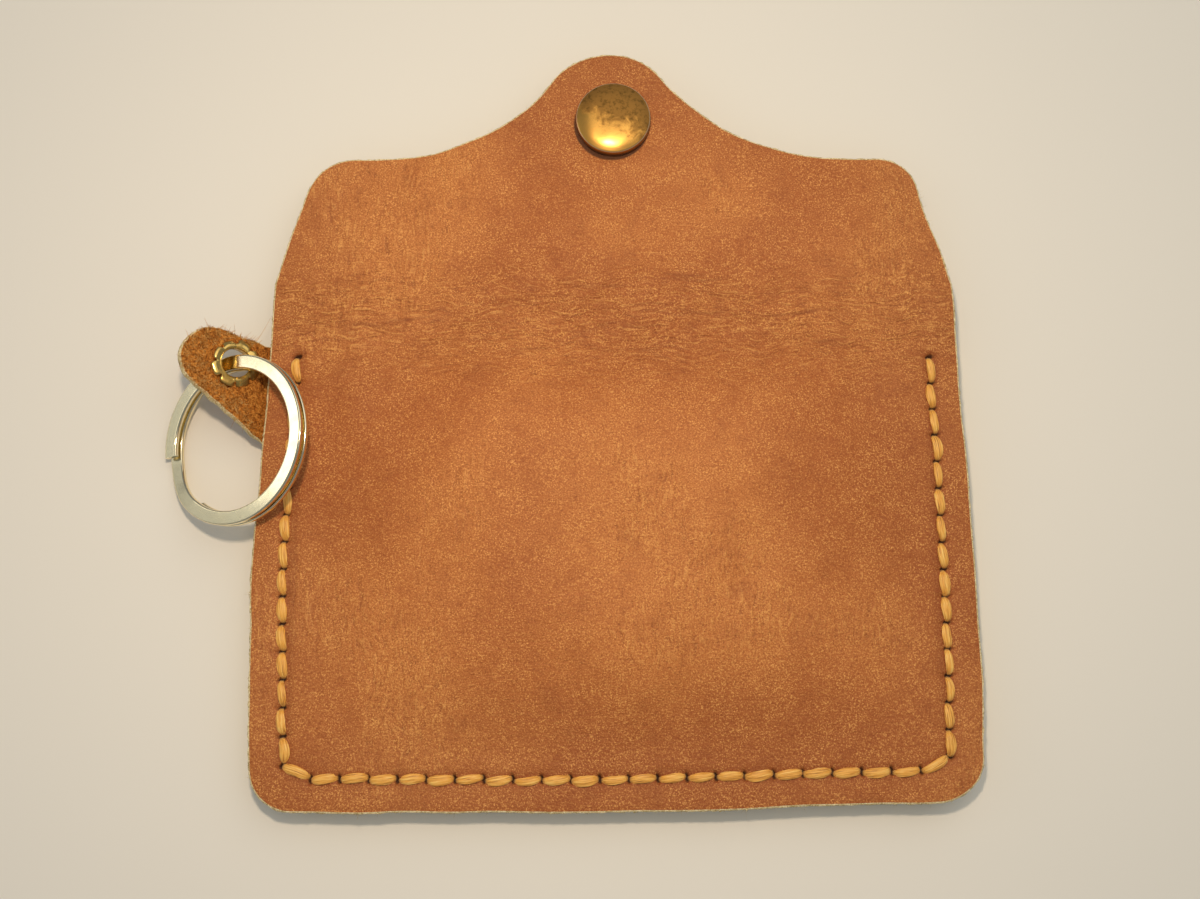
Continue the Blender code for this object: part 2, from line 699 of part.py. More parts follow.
def make_spring_ring():
    """The open wire ring in the socket's groove, which grips the neck of the stud."""
    radius = SPRING_INNER_RADIUS + SPRING_WIRE / 2
    start = SPRING_OPENING / 2
    end = math.tau - SPRING_OPENING / 2
    points = [(x, y, SPRING_HEIGHT) for x, y in arc((0, 0), radius, start, end, SPRING_STEPS)]
    return wire("snap_spring_ring", points, radius=SPRING_WIRE / 2)


def make_stud():
    """The stud on the front panel, its head down, hollow for the spread end of its rivet."""
    hole = RIVET_RADIUS + GAP
    neck_low = STUD_HEAD + STUD_HEAD_RADIUS - STUD_NECK_RADIUS
    flare = STUD_BASE_UNDER - STUD_FLANGE
    profile = [(0, STUD_TIP_WALL), (STUD_CAVITY_RADIUS, STUD_TIP_WALL),
               (STUD_CAVITY_RADIUS, STUD_BASE_UNDER), (hole, STUD_BASE_UNDER),
               (hole, STUD_BASE_TOP), (STUD_FLANGE_RADIUS, STUD_BASE_TOP),
               (STUD_FLANGE_RADIUS, STUD_BASE_UNDER), (STUD_HEAD_RADIUS, STUD_BASE_UNDER),
               (STUD_NECK_RADIUS, flare), (STUD_NECK_RADIUS, neck_low),
               (STUD_HEAD_RADIUS, STUD_HEAD), (STUD_HEAD_RADIUS, STUD_HEAD / 2),
               (STUD_NECK_RADIUS, 0), (0, 0)]
    return turned("snap_stud", profile)


def make_rivet():
    """The rivet that holds the stud: a flat head in the pocket and an end spread in the stud."""
    top = RIVET_SEAT + RIVET_FLANGE
    seat = STUD_BASE_UNDER - GAP
    profile = [(0, top), (RIVET_FLANGE_RADIUS - RIVET_FLANGE / 2, top),
               (RIVET_FLANGE_RADIUS, top - RIVET_FLANGE / 2), (RIVET_FLANGE_RADIUS, RIVET_SEAT),
               (RIVET_RADIUS, RIVET_SEAT), (RIVET_RADIUS, seat), (RIVET_FLARE_RADIUS, seat),
               (RIVET_FLARE_RADIUS, seat - RIVET_FLARE), (0, seat - RIVET_FLARE)]
    return turned("snap_post", profile)


def top_height(place):
    """Height of the thread's middle over the grain side of the back panel."""
    return BACK_BORDER + back_rise(place.x, place.y) + LEATHER + THREAD_GAP + THREAD_DIAMETER / 2


def bottom_height(_place):
    """Height of the thread's middle under the front panel."""
    return BORDER_OUTER - THREAD_GAP - THREAD_DIAMETER / 2


def strand(holes, first_on_top):
    """One of the two strands of the saddle stitch, from the first hole to the last.

    It changes sides at every hole. A stitch starts on the outer side of one hole and ends on the
    inner side of the next one above the panels, and the other way round below them.
    """
    points = []
    dip = STITCH_DIP
    for index in range(len(holes) - 1):
        on_top = (index % 2 == 0) == first_on_top
        height = top_height if on_top else bottom_height
        side = 1 if on_top else -1
        start = holes[index] - inward(holes, index) * STRAND_OFFSET * side
        end = holes[index + 1] + inward(holes, index + 1) * STRAND_OFFSET * side
        landing = (end - start).normalized() * STITCH_LANDING
        points += [(start.x, start.y, height(start) - side * dip),
                   (*(start + landing), height(start + landing)),
                   (*(end - landing), height(end - landing)),
                   (end.x, end.y, height(end) - side * dip)]
    return points


def make_thread(holes):
    """The whole thread: its middle is in the first hole, and both ends meet in the last."""
    below = strand(holes, False)
    above = strand(holes, True)
    start = holes[0] - inward(holes, 0) * STRAND_OFFSET
    above[0] = (start.x, start.y, above[0][2])
    below[0] = (start.x, start.y, below[0][2])
    return wire("stitch_thread", list(reversed(below)) + above, radius=THREAD_DIAMETER / 2)


def finish(obj, finish_name, parts):
    """Give a piece its material and put it in the object's collection."""
    colour, roughness, metallic = FINISHES[finish_name]
    material = bpy.data.materials.get(finish_name) or bpy.data.materials.new(finish_name)
    material.use_nodes = True
    shader = material.node_tree.nodes["Principled BSDF"]
    shader.inputs["Base Color"].default_value = (*colour, 1)
    shader.inputs["Roughness"].default_value = roughness
    shader.inputs["Metallic"].default_value = metallic
    obj.data.materials.clear()
    obj.data.materials.append(material)
    link(obj, parts)
    return obj


def set_pivot(obj, pivot):
    """Move an object's origin to its joint, with its shape left where it is."""
    obj.data.transform(obj.matrix_world)
    obj.matrix_world.identity()
    shift = Vector(pivot)
    for vertex in obj.data.vertices:
        vertex.co -= shift
    obj.location = shift


def carry(child, parent):
    """Parent an object to another and leave it in its place."""
    bpy.context.view_layer.update()
    matrix = child.matrix_world.copy()
    child.parent = parent
    child.matrix_parent_inverse = parent.matrix_world.inverted()
    child.matrix_world = matrix


def box_of(objects):
    """The lowest and highest corner of some objects."""
    corners = [obj.matrix_world @ vertex.co for obj in objects for vertex in obj.data.vertices]
    low = Vector([min(corner[axis] for corner in corners) for axis in range(3)])
    high = Vector([max(corner[axis] for corner in corners) for axis in range(3)])
    return low, high


def main():
    """Build the wallet."""
    for obj in list(bpy.data.objects):
        bpy.data.objects.remove(obj)
    scene = bpy.context.scene
    parts = bpy.data.collections.new(OBJECT_NAME)
    cutters = bpy.data.collections.new(OBJECT_NAME + "_cutters")
    scene.collection.children.link(parts)
    scene.collection.children.link(cutters)

    holes = stitch_holes()
    back = finish(make_back_panel(holes, cutters), "grain_leather", parts)
    front = finish(make_front_panel(holes, cutters), "grain_leather", parts)
    strip = finish(make_fold_strip(), "grain_leather", parts)
    flap = finish(make_flap(cutters), "grain_leather", parts)
    root_holes = [hole for hole in holes if hole.x < 0 and hole.y > TAB_LOW]
    tab_root = finish(make_tab_root(root_holes, cutters), "rough_leather", parts)
    thread = finish(make_thread(holes), "waxed_thread", parts)
    cap = finish(make_cap(), "antique_brass", parts)
    socket = finish(make_socket(), "antique_brass", parts)
    spring = finish(make_spring_ring(), "spring_steel", parts)
    stud = finish(make_stud(), "antique_brass", parts)
    rivet = finish(make_rivet(), "antique_brass", parts)
    tab_end = finish(make_tab_end(cutters), "rough_leather", parts)
    eyelet = finish(make_eyelet(cutters), "bright_brass", parts)
    ring = finish(make_split_ring(cutters), "polished_nickel", parts)

    for piece in (cap, socket, spring):
        piece.location += Vector((0, SNAP_HEIGHT, 0))
    for piece in (stud, rivet):
        piece.location += Vector((0, STUD_HEIGHT, 0))
    tab_end.location = (TAB_HINGE_X, 0, TAB_MIDDLE)
    tab_end.rotation_euler.y = TAB_TILT
    eyelet.location = (EYELET_X, EYELET_HEIGHT, EYELET_Z)
    eyelet.rotation_euler.y = TAB_TILT
    ring.location = RING_CENTRE
    ring.rotation_euler.y = -RING_TILT
    bpy.context.view_layer.update()

    root = bpy.data.objects.new(OBJECT_NAME + "_root", None)
    parts.objects.link(root)
    for piece in (back, front, tab_root, thread, stud, rivet):
        carry(piece, root)
    joints = {"fold": Vector((0, FOLD_START, FOLD_MIDDLE)),
              "flap": Vector((0, FOLD_END, FOLD_MIDDLE))}
    set_pivot(strip, joints["fold"])
    carry(strip, root)
    set_pivot(flap, joints["flap"])
    carry(flap, strip)
    for piece in (cap, socket, spring):
        carry(piece, flap)
    hinge = Vector((TAB_HINGE_X, (TAB_LOW + TAB_HIGH) / 2, TAB_MIDDLE))
    set_pivot(tab_end, hinge)
    carry(tab_end, root)
    carry(eyelet, tab_end)
    hang = Vector((EYELET_X, EYELET_HEIGHT, EYELET_Z))
    set_pivot(ring, hang)
    carry(ring, tab_end)
    joints["key tab"] = hinge
    joints["ring in the eyelet"] = hang

    bpy.context.view_layer.update()
    solids = [obj for obj in parts.objects if obj.type == "MESH"]
    low, high = box_of(solids)
    root.location = -Vector(((low.x + high.x) / 2, (low.y + high.y) / 2, low.z))
    bpy.context.view_layer.update()
    print("box", *(f"{value * 1000:.3f}" for value in high - low), "mm")
    print("frame moved by", *(f"{value:.6f}" for value in root.location))
    for name, place in joints.items():
        print(name, *(f"{value:.6f}" for value in place + root.location))


main()
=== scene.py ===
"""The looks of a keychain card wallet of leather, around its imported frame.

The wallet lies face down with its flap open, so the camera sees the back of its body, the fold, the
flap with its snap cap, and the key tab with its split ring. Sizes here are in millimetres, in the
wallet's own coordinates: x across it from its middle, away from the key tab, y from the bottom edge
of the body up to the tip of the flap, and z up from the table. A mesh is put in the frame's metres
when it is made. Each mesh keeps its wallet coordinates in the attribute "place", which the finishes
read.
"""
import json
import logging
import math
from collections.abc import Callable, Sequence
from dataclasses import dataclass, field
from enum import Enum

import bpy
import numpy as np
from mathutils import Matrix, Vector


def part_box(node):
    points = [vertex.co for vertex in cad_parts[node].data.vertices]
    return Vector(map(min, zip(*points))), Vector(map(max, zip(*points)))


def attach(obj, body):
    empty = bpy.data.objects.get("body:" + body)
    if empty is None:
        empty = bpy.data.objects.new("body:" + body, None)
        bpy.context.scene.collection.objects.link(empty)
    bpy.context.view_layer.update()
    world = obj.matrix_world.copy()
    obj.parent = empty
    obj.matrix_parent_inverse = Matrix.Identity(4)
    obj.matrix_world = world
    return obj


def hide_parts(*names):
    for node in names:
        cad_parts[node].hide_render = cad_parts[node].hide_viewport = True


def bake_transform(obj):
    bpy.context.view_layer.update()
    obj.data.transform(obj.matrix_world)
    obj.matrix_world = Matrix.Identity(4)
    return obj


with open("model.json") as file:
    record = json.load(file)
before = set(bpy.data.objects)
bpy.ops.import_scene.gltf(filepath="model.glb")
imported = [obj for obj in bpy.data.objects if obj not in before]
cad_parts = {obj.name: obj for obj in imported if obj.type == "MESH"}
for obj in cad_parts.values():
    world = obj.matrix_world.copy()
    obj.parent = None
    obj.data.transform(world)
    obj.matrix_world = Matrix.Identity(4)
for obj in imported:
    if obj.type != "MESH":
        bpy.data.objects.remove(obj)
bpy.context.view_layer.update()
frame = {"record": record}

MILLIMETRE = 0.001
QUARTER = math.pi / 2
LOG = logging.getLogger("wallet")

Array = np.ndarray
Colour = Triple = tuple[float, float, float]
Pair = tuple[float, float]
Socket = bpy.types.NodeSocket
Material = bpy.types.Material


class Side(Enum):
    """The two faces of a piece of leather."""

    GRAIN = 0
    FLESH = 1


@dataclass(frozen=True)
class Places:
    """Where the frame puts the wallet's reference points, in wallet millimetres.

    Attributes:
        shift: What is added to wallet coordinates to get the frame's, in millimetres.
        first_bend: Height in plan of the bend between the body and the fold.
        second_bend: Height in plan of the bend between the fold and the flap.
        tab_hinge: The point where the key tab leaves the body.
        eyelet: The middle of the eyelet, where the ring hangs.
        ring_centre: The middle of the split ring.
        ring_axis: The split ring's upright.
    """

    shift: Array
    first_bend: float
    second_bend: float
    tab_hinge: Array
    eyelet: Array
    ring_centre: Array
    ring_axis: Array

    @classmethod
    def read(cls, record: dict) -> "Places":
        """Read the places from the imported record.

        Args:
            record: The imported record.

        Returns:
            The places.
        """
        joints = {joint["name"]: np.array(joint["pos_m"]) / MILLIMETRE
                  for joint in record["behaviour"]["joints"]}
        ring = next(mount for mount in record["mounts"] if mount["name"] == "key_ring")
        bottom_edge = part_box("back_panel")[0][1] / MILLIMETRE
        shift = np.array([joints["fold_bend_1"][0], bottom_edge, 0.0])
        return cls(shift, (joints["fold_bend_1"] - shift)[1], (joints["fold_bend_2"] - shift)[1],
                   joints["key_tab_bend"] - shift, joints["key_ring_swing"] - shift,
                   np.array(ring["pos_m"]) / MILLIMETRE - shift, np.array(ring["axis"]))

    @property
    def mouth(self) -> float:
        """Height in plan of the middle of the fold, where the body's piece meets the flap's."""
        return (self.first_bend + self.second_bend) / 2

    def in_frame(self, point: Sequence[float]) -> Triple:
        """A wallet point in the frame's metres."""
        return tuple(((np.array(point) + self.shift) * MILLIMETRE).tolist())


PLACES = Places.read(frame["record"])


def smooth_step(share: Array) -> Array:
    """Nought below 0, one above 1, and the cubic 3s^2 - 2s^3 between."""
    share = np.clip(share, 0.0, 1.0)
    return share * share * (3.0 - 2.0 * share)


def bell(distance: Array, flat: float, reach: Array | float, power: float) -> Array:
    """One as far as a flat distance, then (1 - s^power)^2 down to nought at the reach."""
    share = np.clip((np.abs(distance) - flat) / (reach - flat), 0.0, 1.0)
    return (1.0 - share ** power) ** 2


def unit(vectors: Array) -> Array:
    """Vectors of length one, along the last axis."""
    return vectors / np.maximum(np.linalg.norm(vectors, axis=-1, keepdims=True), 1e-12)


def left_of(vectors: Array) -> Array:
    """Plan vectors after a quarter turn to the left."""
    return np.stack([-vectors[..., 1], vectors[..., 0]], -1)


def round_about(angle: Array) -> Array:
    """Plan vectors (cos a, sin a)."""
    return np.stack([np.cos(angle), np.sin(angle)], -1)


def turned(vectors: Array, angle: Array) -> Array:
    """Plan vectors after a turn to the left by angles in radians."""
    return vectors * np.cos(angle)[..., None] + left_of(vectors) * np.sin(angle)[..., None]


def full_turn(steps: int) -> Array:
    """Equal angles round a circle."""
    return np.linspace(0.0, math.tau, steps, endpoint=False)


def raised(plan: Array, height: Array) -> Array:
    """Plan points put at their heights."""
    return np.concatenate([plan, height[..., None]], -1)


def length_along(points: Array) -> Array:
    """Length along a line of points from its first, at each point."""
    steps = np.linalg.norm(np.diff(points, axis=0), axis=1)
    return np.concatenate(([0.0], np.cumsum(steps)))


def resampled(points: Array, step: float) -> Array:
    """A line of points cut anew into equal lengths of about a step, ends included."""
    length = length_along(points)
    at = np.linspace(0.0, length[-1], max(int(round(length[-1] / step)), 2) + 1)
    return np.stack([np.interp(at, length, values) for values in points.T], -1)


def spaced(low: float, high: float, step: float, dense: Array, reach: float, fine: float) -> Array:
    """Places of grid lines, a step apart and closer around some of them.

    The count of lines up to a place is the integral of 1 / spacing, where the spacing falls from
    the step to the fine one by exp(-((t - c) / reach)^4) around each dense place c.

    Args:
        low: First line.
        high: Last line.
        step: Spacing away from the dense places.
        dense: Places where the lines stand closer.
        reach: Half the width of a dense stretch.
        fine: Spacing there.

    Returns:
        The places, rising.
    """
    samples = np.linspace(low, high, 20001)
    near = np.exp(-((samples[:, None] - dense) / reach) ** 4).max(axis=1)
    density = 1.0 / step + (1.0 / fine - 1.0 / step) * near
    total = np.concatenate(([0.0], np.cumsum((density[1:] + density[:-1]) / 2 * np.diff(samples))))
    lines = max(int(round(total[-1])), 2)
    return np.interp(np.linspace(0.0, total[-1], lines + 1), total, samples)


def arc(centre: Sequence[float], radius: float, start: float, end: float, steps: int) -> Array:
    """Points on an arc, centre + radius (cos a, sin a) for angles a from start to end."""
    return np.array(centre) + radius * round_about(np.linspace(start, end, steps + 1))


def rounded(before: Array, corner: Array, after: Array, radius: float, steps: int = 14) -> Array:
    """The points of a rounded corner between two straight edges: the arc that touches both."""
    towards, away = unit(before - corner), unit(after - corner)
    half = math.acos(float(np.clip(towards @ away, -1.0, 1.0))) / 2
    centre = corner + unit(towards + away) * radius / math.sin(half)
    start, end = (math.atan2(*(corner + way * radius / math.tan(half) - centre)[::-1])
                  for way in (towards, away))
    turn = (end - start + math.pi) % math.tau - math.pi
    return arc(centre, radius, start, start + turn, steps)


@dataclass(frozen=True)
class Waves:
    """A smooth unevenness about nought: a sum of sine waves in directions drawn at random.

    Each is sin(k.p + phase), with a wavelength between 0.6 and 1.7 times the size.

    Attributes:
        height: The usual height.
        seed: Seed of the draw.
        size: The usual wavelength.
        count: How many waves are summed.
    """

    height: float
    seed: int
    size: float
    count: int = 9

    def at(self, x: Array, y: Array | float) -> Array:
        """Heights at points (x, y)."""
        draw = np.random.default_rng(self.seed)
        turn = draw.uniform(0.0, math.tau, self.count)
        number = math.tau / (self.size * draw.uniform(0.6, 1.7, self.count))
        phase = draw.uniform(0.0, math.tau, self.count)
        total = sum(np.sin(k * (x * math.cos(a) + y * math.sin(a)) + start)
                    for k, a, start in zip(number, turn, phase))
        return self.height * (total * math.sqrt(2.0 / self.count))


def grid_faces(rows: int, columns: int, wrap_rows: bool = False,
               wrap_columns: bool = False) -> Array:
    """Four-sided faces of a grid of points that are numbered row by row.

    Args:
        rows: Number of rows.
        columns: Number of points in a row.
        wrap_rows: Whether the last row joins the first.
        wrap_columns: Whether the last column joins the first.

    Returns:
        Faces as an array of four point numbers each.
    """
    row, column = np.meshgrid(np.arange(rows if wrap_rows else rows - 1),
                              np.arange(columns if wrap_columns else columns - 1), indexing="ij")
    next_row, next_column = (row + 1) % rows, (column + 1) % columns
    corners = [row * columns + column, row * columns + next_column,
               next_row * columns + next_column, next_row * columns + column]
    return np.stack(corners, -1).reshape(-1, 4)


def closed_ends(points: Array, around: int, first_pole: Array,
                last_pole: Array) -> tuple[Array, list[Array]]:
    """Close both ends of a row of rings with fans.

    Args:
        points: The rings' points, ring by ring.
        around: Points in a ring.
        first_pole: Middle of the first ring's fan.
        last_pole: Middle of the last ring's fan.

    Returns:
        The points with the two poles added, and the two blocks of faces.
    """
    count = len(points)
    first = np.arange(around)
    fans = [np.stack([ring, np.roll(ring, -1), np.full(around, pole)], -1)
            for ring, pole in ((first, count), (first + count - around, count + 1))]
    return np.concatenate([points, [first_pole, last_pole]]), [fans[0][:, ::-1], fans[1]]


def volume(points: Array, faces: Sequence[Array]) -> float:
    """Six times the volume that closed faces hold, which is negative if they face inwards."""
    total = 0.0
    for block in faces:
        for corner in range(1, block.shape[1] - 1):
            cross = np.cross(points[block[:, corner]], points[block[:, corner + 1]])
            total += float((points[block[:, 0]] * cross).sum())
    return total


def link(name: str, data: bpy.types.ID) -> bpy.types.Object:
    """Make an object and link it to the scene."""
    item = bpy.data.objects.new(name, data)
    bpy.context.scene.collection.objects.link(item)
    return item


@dataclass
class Mesh:
    """Closed bodies collected for one piece, in wallet millimetres."""

    points: list[Array] = field(default_factory=list)
    lays: list[Array] = field(default_factory=list)
    faces: list[Array] = field(default_factory=list)
    sides: list[Array] = field(default_factory=list)
    total: int = 0

    def add(self, points: Array, faces: Sequence[Array], lay: Array | None = None,
            sides: Sequence[Side] = ()) -> "Mesh":
        """Add one closed body, with its faces turned outwards.

        Args:
            points: Its points.
            faces: Blocks of faces, each an array of point numbers.
            lay: Coordinates that follow the surface, for a finish that runs along it.
            sides: The side of the leather that each block shows, GRAIN where none is given.

        Returns:
            This mesh.
        """
        inside_out = volume(points - points.mean(axis=0), faces) < 0
        for block, side in zip(faces, sides or [Side.GRAIN] * len(faces)):
            self.faces.append((block[:, ::-1] if inside_out else block) + self.total)
            self.sides.append(np.full(len(block), side.value))
        self.points.append(points)
        self.lays.append(points if lay is None else lay)
        self.total += len(points)
        return self

    def lathe(self, profile: Sequence[Pair], centre: Array, steps: int = 96,
              waver: Callable[[Array, Array], Array] | None = None) -> "Mesh":
        """Add a turned body: each profile point (r, z) goes round as (r cos a, r sin a, z).

        A profile whose ends lie on the axis is closed by two poles, and any other is a closed ring.

        Args:
            profile: Radii and heights.
            centre: Middle of the body, added to every point.
            steps: Points round the body.
            waver: Gives an added height from x and y, for dents.

        Returns:
            This mesh.
        """
        outline = np.array(profile, float)
        poles = outline[0, 0] == outline[-1, 0] == 0.0
        rings = outline[1:-1] if poles else outline
        plan = rings[:, :1, None] * round_about(full_turn(steps))
        height = np.broadcast_to(rings[:, 1:], plan.shape[:2])
        if waver is not None:
            height = height + waver(plan[..., 0], plan[..., 1])
        points = raised(plan, height).reshape(-1, 3)
        faces = [grid_faces(len(rings), steps, wrap_rows=not poles, wrap_columns=True)]
        if poles:
            ends = np.array([[0.0, 0.0, outline[0, 1]], [0.0, 0.0, outline[-1, 1]]])
            points, fans = closed_ends(points, steps, *ends)
            faces += fans
        lay = np.stack([np.hypot(points[:, 0], points[:, 1]), points[:, 2], points[:, 2]], -1)
        return self.add(points + centre, faces, lay)

    def tube(self, path: Array, sideways: Array, section: Array,
             lay: Array | None = None) -> "Mesh":
        """Add a body along a path: each point p has the section (s, n) at p + s w + n (t x w).

        Here w is the unit sideways vector and t the path's own direction. Flat fans close the ends.

        Args:
            path: Points of the middle line.
            sideways: Unit vectors across the path, one for each point.
            section: Section points (stations, round, 2), anticlockwise.
            lay: Coordinates that follow the surface, shaped like the points.

        Returns:
            This mesh.
        """
        direction = unit(np.gradient(path, axis=0))
        across = unit(sideways - direction * (sideways * direction).sum(-1, keepdims=True))
        upward = np.cross(direction, across)
        points = (path[:, None, :] + section[:, :, :1] * across[:, None, :]
                  + section[:, :, 1:] * upward[:, None, :])
        stations, around = points.shape[:2]
        body, fans = closed_ends(points.reshape(-1, 3), around, points[0].mean(axis=0),
                                 points[-1].mean(axis=0))
        if lay is not None:
            lay = np.concatenate([lay.reshape(-1, 3), [lay[0].mean(axis=0), lay[-1].mean(axis=0)]])
        return self.add(body, [grid_faces(stations, around, wrap_columns=True), *fans], lay)

    def hairs(self, roots: Array, direction: Array, bend: Array, length: Array, width: Array,
              stations: int = 5) -> "Mesh":
        """Add many thin hairs of three sides: root + l (d t + b t^2), thinner towards the tip.

        Args:
            roots: Points where the hairs start.
            direction: Unit vectors in which they start.
            bend: Vectors that they turn towards.
            length: Length of each hair.
            width: Half the width of each hair at its root.
            stations: Points along a hair.

        Returns:
            This mesh.
        """
        t = np.linspace(0.0, 1.0, stations)[:, None]
        path = roots[:, None] + length[:, None, None] * (direction[:, None] * t
                                                         + bend[:, None] * t ** 2)
        run = unit(np.gradient(path, axis=1))
        across = unit(np.cross(run, HAIR_ASKEW))
        frames = np.stack([across, np.cross(run, across)], -2)
        corners = round_about(np.arange(3) * math.tau / 3) @ frames
        radius = width[:, None, None] * (1.0 - HAIR_TAPER * t)
        points = path[:, :, None] + radius[..., None] * corners
        hair = grid_faces(stations, 3, wrap_columns=True)
        ends = np.array([[2, 1, 0], np.arange(3) + 3 * (stations - 1)])
        first = (np.arange(len(roots)) * stations * 3)[:, None, None]
        return self.add(points.reshape(-1, 3), [(hair + first).reshape(-1, 4),
                                                (ends + first).reshape(-1, 3)])

    def build(self, name: str, materials: Sequence[Material], slot: str,
              replaced: Sequence[str] = (), body: str | None = None,
              crisp: float = 40.0) -> bpy.types.Object:
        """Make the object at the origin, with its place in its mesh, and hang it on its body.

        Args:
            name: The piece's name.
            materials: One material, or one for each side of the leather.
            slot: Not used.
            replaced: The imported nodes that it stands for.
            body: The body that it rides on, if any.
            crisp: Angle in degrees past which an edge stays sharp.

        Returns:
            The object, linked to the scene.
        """
        points = np.concatenate(self.points)
        mesh = bpy.data.meshes.new(name)
        mesh.vertices.add(len(points))
        mesh.vertices.foreach_set("co", ((points + PLACES.shift) * MILLIMETRE).ravel())
        corners = np.concatenate([block.ravel() for block in self.faces])
        sizes = np.concatenate([np.full(len(block), block.shape[1]) for block in self.faces])
        mesh.loops.add(len(corners))
        mesh.loops.foreach_set("vertex_index", corners)
        mesh.polygons.add(len(sizes))
        mesh.polygons.foreach_set("loop_start", np.concatenate(([0], np.cumsum(sizes)[:-1])))
        mesh.polygons.foreach_set("material_index", np.concatenate(self.sides))
        mesh.update(calc_edges=True)
        for label, values in (("place", points), ("lay", np.concatenate(self.lays))):
            attribute = mesh.attributes.new(label, "FLOAT_VECTOR", "POINT")
            attribute.data.foreach_set("vector", values.ravel())
        for material in materials:
            mesh.materials.append(material)
        mesh.shade_smooth()
        mesh.set_sharp_from_angle(angle=math.radians(crisp))
        piece = link(name, mesh)
        if replaced:
            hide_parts(*replaced)
        if body:
            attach(piece, body)
        LOG.info("%s: %d points, %d faces", name, len(points), len(sizes))
        return piece


HAIR_ASKEW = np.array([0.31, 0.52, 0.79])
HAIR_TAPER = 0.75
ALL_SMOOTH = 180.0


class Border:
    """The points round a grid plan, anticlockwise from its first, with their directions."""

    def __init__(self, plan: Array) -> None:
        """Walk round a grid of (x, y).

        Args:
            plan: The grid, with y rising by rows and x by columns.
        """
        rows, columns = plan.shape[:2]
        number = np.arange(rows * columns).reshape(rows, columns)
        self.order = np.concatenate([number[0], number[1:, -1], number[-1, -2::-1],
                                     number[-2:0:-1, 0]])
        self.row, self.column = np.divmod(self.order, columns)
        self.points = plan.reshape(-1, 2)[self.order]
        self.along = unit(np.roll(self.points, -1, axis=0) - np.roll(self.points, 1, axis=0))
        self.outward = -left_of(self.along)


@dataclass(frozen=True)
class HandCut:
    """How the hand-cut leather strays from its pattern, by about a millimetre.

    Attributes:
        slant: How much higher the bottom edge ends on the right.
        slant_start: Where it starts to rise.
        slant_run: The length over which it rises.
        slant_reach: Height in plan at which its effect is gone.
        drop: How much lower the bottom edge lies elsewhere.
        lean: How far the tip of the flap stands to the left.
        lean_start: Height in plan where it starts to lean.
        lean_run: The length over which it leans.
        bulge_start: How far from the middle the sides start to bulge.
        bulge_run: The length over which the bulge grows.
        bulges: Reach, height and half length of the right bulge, the left one and the left nip.
    """

    slant: float = 1.35
    slant_start: float = -5.0
    slant_run: float = 55.0
    slant_reach: float = 34.0
    drop: float = 0.15
    lean: float = 0.75
    lean_start: float = 94.0
    lean_run: float = 17.0
    bulge_start: float = 22.0
    bulge_run: float = 24.0
    bulges: tuple[Triple, ...] = ((0.95, 28.0, 24.0), (1.05, 34.0, 17.0), (0.2, 5.0, 7.0))

    def moved(self, plan: Array) -> Array:
        """The plan points of the pattern, where the cut leather has them."""
        x, y = plan[..., 0], plan[..., 1]
        lift = self.slant * smooth_step((x - self.slant_start) / self.slant_run) - self.drop
        lift = lift * (1.0 - smooth_step(y / self.slant_reach))
        lean = self.lean * smooth_step((y - self.lean_start) / self.lean_run)
        right, left, nip = (reach * np.exp(-((y - height) / length) ** 2)
                            for reach, height, length in self.bulges)
        grown = smooth_step((np.abs(x) - self.bulge_start) / self.bulge_run)
        return np.stack([x - lean + np.where(x > 0, right, nip - left) * grown, y + lift], -1)


